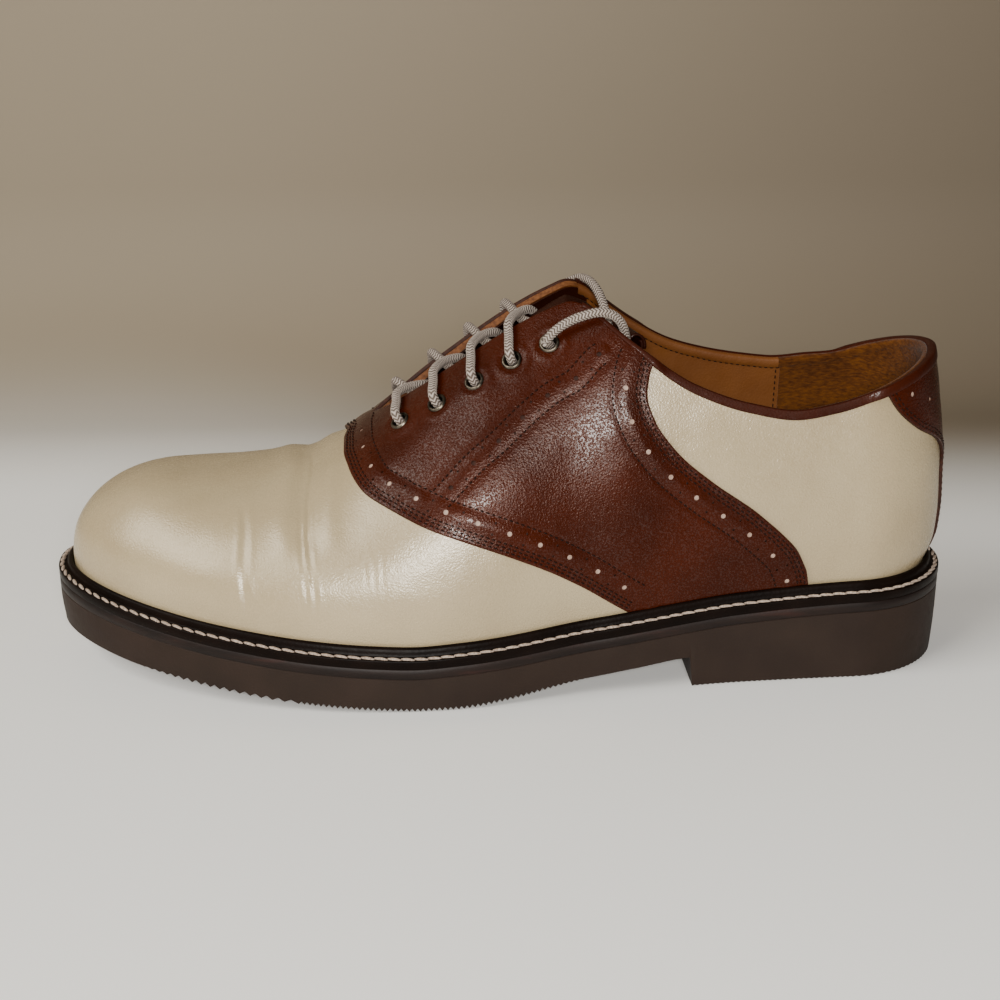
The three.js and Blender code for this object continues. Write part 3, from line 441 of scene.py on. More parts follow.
class Number:
    """A shader socket on which Python's operators add Math nodes."""

    def __init__(self, finish, socket):
        self.finish, self.socket = finish, socket

    def math(self, operation, first, second):
        return self.finish.node("ShaderNodeMath", {"operation": operation}, {0: first, 1: second})

    def __add__(self, other):
        return self.math("ADD", self, other)

    def __sub__(self, other):
        return self.math("SUBTRACT", self, other)

    def __rsub__(self, other):
        return self.math("SUBTRACT", other, self)

    def __mul__(self, other):
        return self.math("MULTIPLY", self, other)

    __radd__ = __add__
    __rmul__ = __mul__


class Finish:
    """A material built from nodes."""

    def __init__(self, name):
        self.material = bpy.data.materials.new(name)
        self.material.use_nodes = True
        self.tree = self.material.node_tree
        self.tree.nodes.clear()

    def node(self, kind, settings=None, values=None, output=0):
        made = self.tree.nodes.new(kind)
        for name, value in (settings or {}).items():
            if name == "stops":
                for index, (position, colour) in enumerate(value):
                    stop = (made.color_ramp.elements[index] if index < 2
                            else made.color_ramp.elements.new(position))
                    stop.position, stop.color = position, (*colour, 1.0)
            else:
                setattr(made, name, value)
        for name, value in (values or {}).items():
            if isinstance(value, Number):
                self.tree.links.new(value.socket, made.inputs[name])
            else:
                made.inputs[name].default_value = value
        return Number(self, made.outputs[output])

    def object_point(self, stretch=(1.0, 1.0, 1.0)):
        point = self.node("ShaderNodeTexCoord", output=3)
        return self.node("ShaderNodeMapping", None, {"Vector": point, "Scale": stretch})

    def noise(self, scale, detail=2.0, stretch=(1.0, 1.0, 1.0)):
        return self.node("ShaderNodeTexNoise", None, {
            "Vector": self.object_point(stretch), "Scale": scale, "Detail": detail})

    def cells(self, scale):
        return self.node("ShaderNodeTexVoronoi", None, {
            "Vector": self.object_point(), "Scale": scale})

    def ramp(self, factor, *stops):
        return self.node("ShaderNodeValToRGB", {"stops": stops}, {"Fac": factor})

    def blend(self, factor, first, second):
        first, second = (value if isinstance(value, Number) else (*value, 1.0)
                         for value in (first, second))
        return self.node("ShaderNodeMix", {"data_type": "RGBA"}, {0: factor, 6: first, 7: second}, 2)

    def clipped(self, value, low, high):
        return self.node("ShaderNodeMapRange", {"interpolation_type": "SMOOTHSTEP"}, {
            "Value": value, "From Min": low, "From Max": high})

    def bump(self, *layers):
        """Bump layers, each a height from 0 to 1 and its depth in metres."""
        normal = None
        for height, depth in layers:
            values = {"Height": height, "Distance": depth, "Strength": 1.0}
            if normal is not None:
                values["Normal"] = normal
            normal = self.node("ShaderNodeBump", None, values)
        return normal

    def done(self, **values):
        names = {name.replace("_", " "): value for name, value in values.items()}
        shader = self.node("ShaderNodeBsdfPrincipled", None, names)
        out = self.tree.nodes.new("ShaderNodeOutputMaterial")
        self.tree.links.new(shader.socket, out.inputs["Surface"])
        return self.material


def cream_leather():
    f = Finish("cream_leather")
    patches = f.noise(26, 3)
    fine = f.noise(420, 4)
    lines = f.clipped(f.noise(900, 3, (0.25, 1.0, 1.0)), 0.66, 0.78)
    scuffs = lines * f.clipped(f.noise(60, 2), 0.5, 0.7)
    colour = f.ramp(patches, (0.30, (0.330, 0.257, 0.148)), (0.72, (0.400, 0.322, 0.192)))
    colour = f.blend(scuffs * 0.35, colour, (0.25, 0.195, 0.125))
    return f.done(Base_Color=colour, Roughness=f.clipped(fine, 0.2, 0.9) * 0.12 + 0.23,
                  Specular_IOR_Level=0.80, Specular_Tint=(1.0, 0.94, 0.83, 1.0),
                  Coat_Weight=0.10, Coat_Roughness=0.34,
                  Normal=f.bump((f.noise(1700, 2), 0.000095), (f.cells(1400), 0.00003),
                                (f.noise(160, 3), 0.00007)))


def brown_leather(name="brown_leather", dark=1.0, grainy=1.0, gloss=0.20):
    f = Finish(name)
    patches = f.noise(30, 4)
    grain = f.cells(1500)
    speckle = f.clipped(f.noise(1900, 2), 0.52, 0.59)
    light = tuple(value * dark for value in (0.046, 0.0066, 0.0012))
    deep = tuple(value * dark for value in (0.021, 0.0029, 0.0006))
    colour = f.ramp(patches, (0.28, deep), (0.74, light))
    colour = f.blend(f.clipped(grain, 0.35, 0.75) * 0.3, colour, deep)
    return f.done(Base_Color=colour, Roughness=f.noise(300, 3) * 0.12 + gloss,
                  Specular_IOR_Level=0.13, Specular_Tint=(1.0, 0.76, 0.66, 1.0),
                  Coat_Weight=speckle * (0.38 * grainy), Coat_Roughness=0.23,
                  Normal=f.bump((f.noise(1700, 2), 0.00013 * grainy), (grain, 0.00004 * grainy),
                                (f.noise(190, 3), 0.00007)))


def mottled(name, tone, stops, rough, specular, bumps, **values):
    """A finish of one mottled tone: its noise, its colours, its roughness and its bump layers.

    A bump layer without detail is made of cells.
    """
    f = Finish(name)
    if isinstance(rough, tuple):
        scale, detail, span, least = rough
        rough = f.noise(scale, detail) * span + least
    layers = [(f.noise(scale, detail) if detail else f.cells(scale), depth)
              for scale, detail, depth in bumps]
    return f.done(Base_Color=f.ramp(f.noise(*tone), *stops), Roughness=rough,
                  Specular_IOR_Level=specular, Normal=f.bump(*layers), **values)


def thread(name, low, high):
    return mottled(name, (1600, 3), ((0.3, low), (0.7, high)), 0.75, 0.15, ((3500, 2, 0.00010),))


def suede_lining():
    f = Finish("suede_lining")
    nap = f.noise(1000, 5, (0.45, 1.0, 1.4))
    tone = nap * 0.65 + f.noise(80, 3) * 0.35
    colour = f.ramp(tone, (0.36, (0.040, 0.0108, 0.0013)), (0.62, (0.106, 0.034, 0.0040)))
    return f.done(Base_Color=colour, Roughness=0.92, Specular_IOR_Level=0.1, Sheen_Weight=0.08,
                  Sheen_Roughness=0.5, Normal=f.bump((nap, 0.00038)))


def lace_braid():
    f = Finish("lace_braid")
    spot = f.node("ShaderNodeUVMap", {"uv_map": "braid"})
    split = f.node("ShaderNodeSeparateXYZ", None, {"Vector": spot})
    along = Number(f, split.socket.node.outputs[1])
    rib = f.node("ShaderNodeMath", {"operation": "PINGPONG"}, {0: split * BRAID_RIBS, 1: 0.5}) * 2.0
    worn = f.noise(700, 2) * 0.30
    strands = f.node("ShaderNodeMath", {"operation": "SINE"}, {
        0: (along + rib * 0.75 + worn) * (2 * math.pi)})
    weave = strands * 0.5 + 0.5
    fibres = f.noise(2600, 3)
    # The colour darkens where the weave is low, in the grooves between the strands: painted shade.
    # The fibres' noise is the lace's own tone.
    colour = f.ramp(weave * 0.6 + fibres * 0.4, (0.22, (0.066, 0.048, 0.037)),
                    (0.50, (0.215, 0.172, 0.143)), (0.80, (0.450, 0.388, 0.338)))
    return f.done(Base_Color=colour, Roughness=0.88,
                  Normal=f.bump((weave, 0.00022), (fibres, 0.00010)))


CREAM = cream_leather()
BROWN = brown_leather()
ROLLED = brown_leather("rolled_leather", 0.9, 0.6, 0.46)
# Tongue leather at half the saddle's brightness: partly the tongue's own dark brown, partly painted
# shade of the shadowed throat. The lining inside the throat wears it as painted shade too.
TONGUE_LEATHER_AND_SHADE = brown_leather("tongue_leather_and_shade", 0.5, 0.6, 0.5)
RAW_EDGE = mottled(
    "leather_edge", (900, 3), ((0.3, (0.016, 0.0040, 0.0018)), (0.7, (0.042, 0.012, 0.005))),
    0.62, 0.2, ((1500, 2, 0.00008),))
PALE_BACKING = mottled(
    "pale_backing", (700, 2), ((0.3, (0.30, 0.19, 0.135)), (0.7, (0.44, 0.31, 0.245))),
    0.6, 0.5, ((1500, 2, 0.00006),))
TAN_EDGE = mottled(
    "tan_edge", (900, 3), ((0.3, (0.070, 0.020, 0.005)), (0.7, (0.165, 0.062, 0.019))),
    0.66, 0.2, ((1500, 2, 0.00010),))
LINING = mottled(
    "smooth_lining", (35, 4), ((0.3, (0.098, 0.030, 0.0055)), (0.72, (0.150, 0.052, 0.0105))),
    (200, 3, 0.2, 0.42), 0.3, ((1200, 0, 0.00005), (90, 3, 0.00030)))
SUEDE = suede_lining()
SOLE = mottled(
    "sole_rubber", (50, 5), ((0.3, (0.0155, 0.0088, 0.0058)), (0.75, (0.0235, 0.0135, 0.0092))),
    (400, 3, 0.18, 0.54), 0.18, ((1400, 3, 0.00008), (120, 2, 0.00008)))
WELT = mottled(
    "welt_rubber", (70, 4), ((0.3, (0.0034, 0.0019, 0.0013)), (0.75, (0.0075, 0.0040, 0.0028))),
    (300, 3, 0.2, 0.28), 0.05, ((900, 3, 0.00007),))
MIDSOLE = mottled(
    "midsole_rubber", (120, 4, (0.4, 1.0, 3.0)),
    ((0.35, (0.0060, 0.0030, 0.0022)), (0.62, (0.0115, 0.0056, 0.0038)),
     (0.80, (0.0260, 0.0085, 0.0060))), 0.5, 0.2, ((800, 3, 0.00006),))
METAL = mottled(
    "antique_metal", (500, 4), ((0.30, (0.030, 0.026, 0.020)), (0.78, (0.230, 0.195, 0.150))),
    (900, 2, 0.25, 0.22), 0.5, ((2600, 2, 0.00002),), Metallic=1.0)
BROWN_THREAD = thread("brown_thread", (0.004, 0.0012, 0.0006), (0.014, 0.0038, 0.0016))
PALE_THREAD = thread("pale_thread", (0.20, 0.145, 0.11), (0.47, 0.38, 0.31))
BRAID = lace_braid()


def linked(name, mesh, materials=(), smooth=True):
    """The object of a mesh, linked into the scene."""
    data = bpy.data.meshes.new(name)
    mesh.to_mesh(data)
    mesh.free()
    for face in data.polygons:
        face.use_smooth = smooth
    for material in materials:
        data.materials.append(material)
    made = bpy.data.objects.new(name, data)
    bpy.context.scene.collection.objects.link(made)
    return made


def finished(name, mesh, materials, node_names=(), sharp=40.0):
    """A piece of the shoe: its mesh, its finish and the solids that it stands for."""
    made = linked(name, mesh, materials)
    made.data.set_sharp_from_angle(angle=math.radians(sharp))
    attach(made, "root")
    if node_names:
        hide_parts(*node_names)
    return made


def lay(mesh, columns, rows, spot, turn=False):
    """A grid laid into a mesh, each point placed by its column's and row's values."""
    wide, high = len(columns) - 1, len(rows) - 1
    made = bmesh.ops.create_grid(mesh, x_segments=wide, y_segments=high, size=1.0)
    values = {}
    for vert in made["verts"]:
        values[vert] = (columns[round((vert.co.x + 1) / 2 * wide)],
                        rows[round((vert.co.y + 1) / 2 * high)])
        vert.co = spot(*values[vert])
    if turn:
        faces = {face for vert in values for face in vert.link_faces}
        bmesh.ops.reverse_faces(mesh, faces=list(faces))
    return values


def weld(mesh, distance=0.00002):
    bmesh.ops.remove_doubles(mesh, verts=mesh.verts, dist=distance)
    bmesh.ops.dissolve_degenerate(mesh, edges=mesh.edges, dist=0.000002)


def walled(made, thickness, bevel=0.0, inner=0, rim=0, even=True):
    """Modifiers that give a skin its wall, inwards, with softened cut edges."""
    wall = made.modifiers.new("wall", "SOLIDIFY")
    wall.thickness = thickness * MM
    wall.offset = -1
    wall.use_even_offset = even
    wall.use_quality_normals = True
    wall.material_offset = inner
    wall.material_offset_rim = rim
    if bevel:
        soft = made.modifiers.new("soft_edge", "BEVEL")
        soft.width = bevel * MM
        soft.segments = 2
        soft.limit_method = "ANGLE"
        soft.angle_limit = math.radians(60)
    return made


def settle(made):
    """The mesh with its modifiers applied."""
    bpy.context.view_layer.update()
    data = bpy.data.meshes.new_from_object(
        made.evaluated_get(bpy.context.evaluated_depsgraph_get()))
    made.modifiers.clear()
    made.data = data
    data.set_sharp_from_angle(angle=math.radians(35))
    return made


def sections(heel, side, toe, extra=(), vamp=0):
    """Section values along the shoe, closer round the heel, the toe and, if asked, the vamp."""
    found = steps(0, HEEL_SHARE, heel)[:-1]
    if vamp:
        folds = section_at(VAMP_START), section_at(VAMP_END)
        found += steps(HEEL_SHARE, folds[0], side)[:-1] + steps(*folds, vamp)[:-1]
        found += steps(folds[1], 1, toe)
    else:
        found += steps(HEEL_SHARE, TOE_SHARE, side)[:-1] + steps(TOE_SHARE, 1, toe)
    for value in extra:
        nearest = min(range(1, len(found) - 1), key=lambda i: abs(found[i] - value))
        found[nearest] = value
    return found


THROAT_SECTION = section_at(THROAT_BASE * SOLE_LENGTH)
SHARE_ROWS = steps(0, 1, 56)


def both_sides(mesh, columns, rows, spot, turned_side=OUTER):
    """The outer and the inner half of a skin, one of them turned to face outwards, joined."""
    for side in (OUTER, INNER):
        lay(mesh, columns, rows, lambda k, row: spot(k, side, row), turn=side == turned_side)
    weld(mesh)


def upper():
    mesh = bmesh.new()
    both_sides(mesh, sections(30, 84, 46, (THROAT_SECTION,), vamp=104), SHARE_ROWS,
               lambda k, side, share: in_frame(last_point(k, side, top_angle(k, side) * share, 0)))
    made = finished("upper_leather", mesh, (CREAM, LINING, TAN_EDGE), ("upper",))
    pierce(settle(walled(made, UPPER_WALL, inner=1, rim=2)), eyelet_holes())


@lru_cache(maxsize=None)
def soft_top(k, side):
    """Angle of the upper's edge without the corner that the throat's base makes in it."""
    near = [top_angle(clamp(k + step), side) for step in steps(-0.03, 0.03, 6)]
    return mix(top_angle(k, side), sum(near) / len(near), ease((k - 0.30) / 0.15))


def angle_of(k, side, share):
    """Angle of a share of the side's height, from the overlays' foot to the upper's edge."""
    high = mix(soft_top(k, side), top_angle(k, side), ease((share - 0.75) / 0.25))
    return mix(angle_at(k, OVERLAY_FOOT), high, share)


def overlay_point(k, side, share, lift):
    return last_point(k, side, angle_of(k, side, share), lift)


@lru_cache(maxsize=None)
def eyelet_place(index, side):
    k = section_at(FIRST_EYELET * SOLE_LENGTH - index * EYELET_SPACING)
    angle, run = top_angle(k, side), 0.0
    while run < EYELET_EDGE:
        below = angle - QUARTER / 240
        run += (bare_point(k, side, angle) - bare_point(k, side, below)).length
        angle = below
    return bare_point(k, side, angle), last_normal(k, side, angle)


def eyelet_pucker(point):
    """Leather raised round each eyelet by its clenching."""
    total = 0.0
    for index in range(EYELET_COUNT):
        for side in (OUTER, INNER):
            away = (point - eyelet_place(index, side)[0]).length
            if away < EYELET_SPACING:
                total += 0.26 * hump(away, 5.2, 1.3) - 0.25 * hump(away, 0, 3.2)
    return total


@lru_cache(maxsize=None)
def seam_lines():
    """Places along the saddle's edges, and along the middle of its eyestay bands."""
    border = [(read(SADDLE, column, share), share) for column in ("front", "rear")
              for share in steps(0, 1, 200)]
    stay = [(read(EYESTAY, "length", t), read(EYESTAY, "height", t)) for t in steps(0, 1, 160)]
    trees = []
    for places_now in (border, stay):
        tree = kdtree.KDTree(2 * len(places_now))
        for at, share in places_now:
            k = section_at(at * SOLE_LENGTH)
            for side in (OUTER, INNER):
                tree.insert(bare_point(k, side, angle_of(k, side, share)), 0)
        tree.balance()
        trees.append(tree)
    return trees


def seam_relief(point):
    """Leather drawn down along the saddle's seams and swollen between them."""
    border, stay = (tree.find(point)[2] for tree in seam_lines())
    swell = math.sin(math.pi * clamp((border - SWELL_START) / SWELL_WIDTH)) ** 2
    drawn = (hump(border, STITCH_ROWS[1], 1.5) + hump(border, STITCH_ROWS[-1], 1)
             + hump(stay, STAY_SEAM, 1))
    return SWELL * swell + BAND_SWELL * hump(stay, 0, 2) - SEAM_DRAW * drawn


def saddle_point(k, side, angle, lift):
    """Point and normal of the saddle, raised by its eyelets and drawn in by its seams."""
    bare, normal = bare_point(k, side, angle), last_normal(k, side, angle)
    raised = eyelet_pucker(bare) + seam_relief(bare)
    return last_point(k, side, angle, lift) + normal * raised, normal


def saddle_leather():
    mesh = bmesh.new()
    wrap = read(SADDLE, "front", 1) - THROAT_BASE
    lines = [(0, share) for share in steps(0, 1, 5)[:-1]] + [(1, share) for share in steps(0, 1, 108)]

    def spot(line, side, share):
        part, along = line
        front, rear = read(SADDLE, "front", share), read(SADDLE, "rear", share)
        at = mix(front - wrap, rear, along) if part else mix(front, front - wrap, along)
        joined = share > 1 - 1e-9 and line == (1, 0)
        k = THROAT_SECTION if joined else section_at(at * SOLE_LENGTH)
        angle = angle_of(k, side, share)
        return in_frame(saddle_point(k, side, angle, OVERLAY_GAP + LEATHER)[0])

    both_sides(mesh, lines, steps(0, 1, 94), spot, INNER)
    made = finished("saddle_leather", mesh, (BROWN, RAW_EDGE), ("saddle",))
    return walled(made, LEATHER, bevel=0.3, rim=1)


def backstay_leather():
    mesh = bmesh.new()
    both_sides(mesh, steps(0, 1, 22), steps(0, 1, 64), lambda line, side, share: in_frame(
        overlay_point(HEEL_SHARE * read(BACKSTAY, "turn", share) * line, side, share,
                      OVERLAY_GAP + LEATHER)))
    made = finished("backstay_leather", mesh, (BROWN, RAW_EDGE), ("backstay",))
    return walled(made, LEATHER, bevel=0.3, rim=1)


def along_surface(spot, at, share, direction, distance):
    """Where a surface given by two shares is reached by going a distance along a direction."""
    step_at, step_share = 0.002, 0.004
    here = spot(at, share)
    by_at = (spot(at + step_at, share) - here) / step_at
    by_share = (spot(at, share - step_share) - here) / -step_share
    goal = direction * distance
    a, b, c = by_at.dot(by_at), by_at.dot(by_share), by_share.dot(by_share)
    p, q = by_at.dot(goal), by_share.dot(goal)
    whole = a * c - b * b
    return at + (p * c - q * b) / whole, share + (q * a - p * b) / whole


class Row:
    """A line on an overlay, given by shares, that stitches or holes follow."""

    def __init__(self, side, shares):
        self.side, self.shares = side, shares

    def site(self, at, share):
        """Section, side and angle of a place given by its shares."""
        k = section_at(at * SOLE_LENGTH)
        return k, self.side, angle_of(k, self.side, share)

    def spot(self, at, share):
        return bare_point(*self.site(at, share))

    def beside(self, distance):
        """The line that runs beside this one, across the leather."""
        found = []
        for i, (at, share) in enumerate(self.shares):
            before = self.spot(*self.shares[max(i - 1, 0)])
            after = self.spot(*self.shares[min(i + 1, len(self.shares) - 1)])
            across = (after - before).cross(last_normal(*self.site(at, share))).normalized()
            place_now = along_surface(self.spot, at, share, across, distance / 2)
            place_now = along_surface(self.spot, *place_now, across, distance / 2)
            found.append(place_now)
        return Row(self.side, found)

    def points(self, lift):
        return [saddle_point(*self.site(at, share), lift)
                for at, share in self.shares if 0 < share < 1]


def spaced(points, pitch, start=0.0):
    """Places at an even pitch along points with normals: point, direction and normal."""
    found, run, goal = [], 0.0, start
    for (a, normal_a), (b, normal_b) in zip(points, points[1:]):
        length = (b - a).length
        while length > 1e-9 and goal <= run + length:
            share = (goal - run) / length
            found.append((a.lerp(b, share), (b - a).normalized(), normal_a.lerp(normal_b, share)))
            goal += pitch
        run += length
    return found


def stance(point, along, normal, sizes):
    """Matrix that sets a shape at a point, its length along a direction and its top outwards."""
    x = turned(along).normalized()
    z = turned(normal)
    z = (z - x * z.dot(x)).normalized()
    y = z.cross(x)
    turn = Matrix((x, y, z)).transposed().to_4x4()
    return Matrix.Translation(in_frame(point)) @ turn @ Matrix.Diagonal((*[v * MM for v in sizes], 1))


def square_on(point, normal):
    """Matrix that stands a round shape on the leather."""
    return stance(point, normal.orthogonal(), normal, (1, 1, 1))


def stitching(name, rows, pitch, sizes, material, skew=0.0, finer=1):
    """Stitches along rows of points, each a small rounded thread."""
    mesh = bmesh.new()
    for points in rows:
        for point, along, normal in spaced(points, pitch, pitch / 2):
            if skew:
                along = (along + normal.cross(along) * skew).normalized()
            bmesh.ops.create_icosphere(mesh, subdivisions=finer, radius=0.5,
                                       matrix=stance(point, along, normal, sizes))
    finished(name, mesh, (material,), sharp=180)


def pierce(made, *punches):
    """Holes punched through a piece: each punch has its places, radius, sides and depth."""
    mesh = bmesh.new()
    for places_now, radius, sides, depth in punches:
        for place_now in places_now:
            bmesh.ops.create_cone(mesh, cap_ends=True, segments=sides, radius1=radius,
                                  radius2=radius, depth=depth, matrix=square_on(*place_now))
    for face in mesh.faces:
        face.material_index = min(1, len(made.data.materials) - 1)
    punch = linked("punch", mesh, smooth=False)
    cut = made.modifiers.new("holes", "BOOLEAN")
    cut.operation = "DIFFERENCE"
    cut.solver = "MANIFOLD"
    cut.object = punch
    settle(made)
    bpy.data.objects.remove(punch)


def backing(name, holes):
    """Pale leather that shows at the bottom of the large holes."""
    mesh = bmesh.new()
    for point, normal in holes:
        bmesh.ops.create_cone(mesh, cap_ends=True, segments=12, radius1=0.92, radius2=0.92,
                              depth=0.3, matrix=square_on(point + normal * 0.05, normal))
    finished(name, mesh, (PALE_BACKING,), sharp=50)


def eyelet_holes():
    places_now = [eyelet_place(i, side) for side in (OUTER, INNER) for i in range(EYELET_COUNT)]
    return places_now, *EYELET_BORE


def holes_along(row, pitch, start):
    """Large holes along a row, with two small shallow ones abreast between each two."""
    big, small = [], []
    row = Row(row.side, [(at, share) for at, share in row.shares if share < 0.93])
    for i, (point, along, normal) in enumerate(spaced(row.points(HOLE_LIFT), pitch / 2, start)):
        if i % 2 == 0:
            big.append((point, normal))
        else:
            across = normal.cross(along).normalized()
            small += [(point + across * away + normal * SHALLOW, normal)
                      for away in (SMALL_PAIR, -SMALL_PAIR)]
    return big, small


def edge_row(side, column):
    return Row(side, [(read(SADDLE, column, share), share) for share in steps(0.004, 0.996, 90)])


def eyestay_row(side):
    return Row(side, [(read(EYESTAY, "length", t), read(EYESTAY, "height", t))
                      for t in steps(0, 1, 60)])


def saddle():
    made = settle(saddle_leather())
    rows, big, small, dark = [], [], [], []
    lift = LEATHER + 0.24
    for side in (OUTER, INNER):
        for column, turn, start, pitch in (("front", side, 6.0, 10.8), ("rear", -side, 2.2, 11.2)):
            border = edge_row(side, column)
            rows += [border.beside(inset * turn).points(lift) for inset in STITCH_ROWS]
            found = holes_along(border.beside(HOLE_ROW * turn), pitch, start)
            big += found[0]
            small += found[1]
        stay = eyestay_row(side)
        found = holes_along(stay, 10.8, 1.0)
        dark += [(point + normal * SHALLOW, normal) for point, normal in found[0]]
        small += found[1]
        rows += [stay.beside(inset).points(lift) for inset in (-STAY_SEAM, STAY_SEAM)]
    pierce(made, (big, *LARGE_HOLE), (small, *SMALL_HOLE), (dark, *DARK_HOLE), eyelet_holes())
    backing("saddle_backing", big)
    stitching("saddle_stitches", rows, 2.0, (1.45, 0.56, 0.44), BROWN_THREAD)


def backstay():
    made = settle(backstay_leather())
    rows, big, small = [], [], []
    lift = LEATHER + 0.12

    def site(side, turn, share):
        k = HEEL_SHARE * turn
        return k, side, mix(angle_at(k, OVERLAY_FOOT), top_angle(k, side), share)

    for side in (OUTER, INNER):
        for inset in BACKSTAY_ROWS:
            path = []
            for share in steps(0.01, 0.985, 80):
                here, after = (site(side, read(BACKSTAY, "turn", at), at)
                               for at in (share, min(share + 0.004, 1)))
                normal = last_normal(*here)
                across = (bare_point(*after) - bare_point(*here)).cross(normal).normalized() * side
                path.append((last_point(*here, lift) + across * inset, normal))
            rows.append(path)
        for found, depth, places_now in (
                (big, HOLE_LIFT, ((0.20, 0.71), (0.44, 0.81), (0.64, 0.90))),
                (small, HOLE_LIFT + SHALLOW,
                 ((0.27, 0.78), (0.35, 0.735), (0.50, 0.88), (0.58, 0.835)))):
            for turn, share in places_now:
                here = site(side, turn, share)
                found.append((last_point(*here, depth), last_normal(*here)))
    pierce(made, (big, *LARGE_HOLE), (small, *SMALL_HOLE))
    backing("backstay_backing", big)
    stitching("backstay_stitches", rows, 2.3, (1.7, 0.5, 0.42), BROWN_THREAD)


def covered(k):
    """How far an overlay lies under the topline here, from 0 to 1."""
    at = section_of(k)["at"]
    rear = SADDLE["rear"][-1]
    turn = k / HEEL_SHARE
    return max(ease((at - rear + 0.014) / 0.014), 1 - ease((turn - BACKSTAY["turn"][-1]) / 0.12))


def rim_of(k, side):
    """Point of the upper's edge, with the directions out of the leather and up past the edge."""
    top = top_angle(k, side)
    rim = last_point(k, side, top, 0)
    out = last_normal(k, side, top)
    up = rim - bare_point(k, side, top - 0.03)
    up = (up - out * up.dot(out)).normalized()
    return rim, out, up


TOPLINE_END = section_at(TOPLINE_END_SHARE * SOLE_LENGTH)
LINING_SEAM = section_at(SEAM_AT)
TOPLINE_COLUMNS = steps(0, HEEL_SHARE, 30)[:-1] + steps(HEEL_SHARE, TOPLINE_END, 70)


def along_topline(name, material, node_names, section):
    """A strip along the topline, from one facing round the heel to the other.

    section gives its points as distances out from the leather's face and up from the rim.
    """
    mesh = bmesh.new()
    columns = ([(OUTER, k) for k in reversed(TOPLINE_COLUMNS)]
               + [(INNER, k) for k in TOPLINE_COLUMNS[1:]])

    def spot(column, index):
        side, k = column
        rim, out, up = rim_of(k, side)
        away, rise = section(k)[index]
        return in_frame(rim + out * away + up * rise)

    lay(mesh, columns, range(len(section(0))), spot)
    weld(mesh, 0.000005)
    bmesh.ops.holes_fill(mesh, edges=[each for each in mesh.edges if each.is_boundary])
    bmesh.ops.recalc_face_normals(mesh, faces=mesh.faces)
    return finished(name, mesh, (material,), node_names, sharp=50)


@lru_cache(maxsize=None)
def fold_section(k):
    """Brown leather folded over the rim."""
    base = 0.05 + (LEATHER + OVERLAY_GAP) * covered(k)
    outside, inside = base + 0.45, -1.15
    low = -2.5 + 1.1 * ease((section_of(k)["at"] - SADDLE["rear"][-1]) / 0.02)
    middle, half = (outside + inside) / 2, (outside - inside) / 2
    over = [(middle + half * math.cos(turn), 0.35 + 0.55 * math.sin(turn))
            for turn in steps(0, math.pi, 10)]
    return [(base, low - 0.05), (outside - 0.15, low), (outside, low + 0.2),
            (outside + 0.03, low / 2), *over, (inside, 0.0), (base, 0.0), (base, low - 0.05)]


def strip_section(_):
    """Lining folded against the rim's inner side, the same all along it."""
    inside = -UPPER_WALL - 0.35
    return [(-1.1, 0.1), (-1.25, 0.6), (-1.6, 0.78), (inside, 0.55), (inside - 0.35, 0.1),
            (inside - 0.5, -1.2), (inside - 0.42, -2.6), (inside - 0.1, -3.1), (inside + 0.4, -3.2),
            (-1.1, 0.1)]


def topline():
    along_topline("topline_binding", ROLLED, ("binding_outer", "binding_inner"),
                  fold_section)
    lined = along_topline("topline_lining", LINING, (), strip_section)
    lined.data.materials.append(SUEDE)
    seam = in_frame((SEAM_AT, 0, 0)).x
    for face in lined.data.polygons:
        face.material_index = int(face.center.x > seam)
    rows = []
    for side in (OUTER, INNER):
        path = []
        for k in steps(LINING_SEAM, TOPLINE_END, 150):
            rim, out, up = rim_of(k, side)
            path.append((rim - out * (UPPER_WALL + 0.85) - up * 2.7, -out))
        rows.append(path)
    stitching("topline_stitches", rows, 2.1, (1.5, 0.42, 0.4), BROWN_THREAD)


def lining(name, material, start, end, thickness, nap=0.0):
    """A lining between two sections of both sides, from the insole to the topline."""
    mesh = bmesh.new()

    def spot(k, side, share):
        angle = mix(0.02, top_angle(k, side) - 0.012, share)
        point = last_point(k, side, angle, -UPPER_WALL - 0.05 - thickness)
        if nap:
            point += last_normal(k, side, angle) * nap * noise.noise(point * 0.6)
        return in_frame(point)

    both_sides(mesh, steps(start, end, 70), steps(0, 1, 40), spot)
    bmesh.ops.reverse_faces(mesh, faces=mesh.faces)
    made = finished(name, mesh, (material, TONGUE_LEATHER_AND_SHADE))
    settle(walled(made, thickness))
    # Lining faces towards the toe from here take the dark tongue leather: painted shade inside the
    # throat.
    facing = in_frame((THROAT_SHADE_START, 0, 0)).x
    for face in made.data.polygons:
        face.material_index = int(face.center.x < facing)
    if end > LINING_SEAM:
        pierce(made, eyelet_holes())


def seam_stitches():
    rows = []
    for side in (OUTER, INNER):
        k = section_at(SEAM_AT + 1.5)
        rows.append([(last_point(k, side, top_angle(k, side) * share, -UPPER_WALL - 0.8),
                      -last_normal(k, side, top_angle(k, side) * share))
                     for share in steps(0.2, 0.96, 40)])
    stitching("lining_stitches", rows, 2.2, (1.6, 0.5, 0.4), BROWN_THREAD)


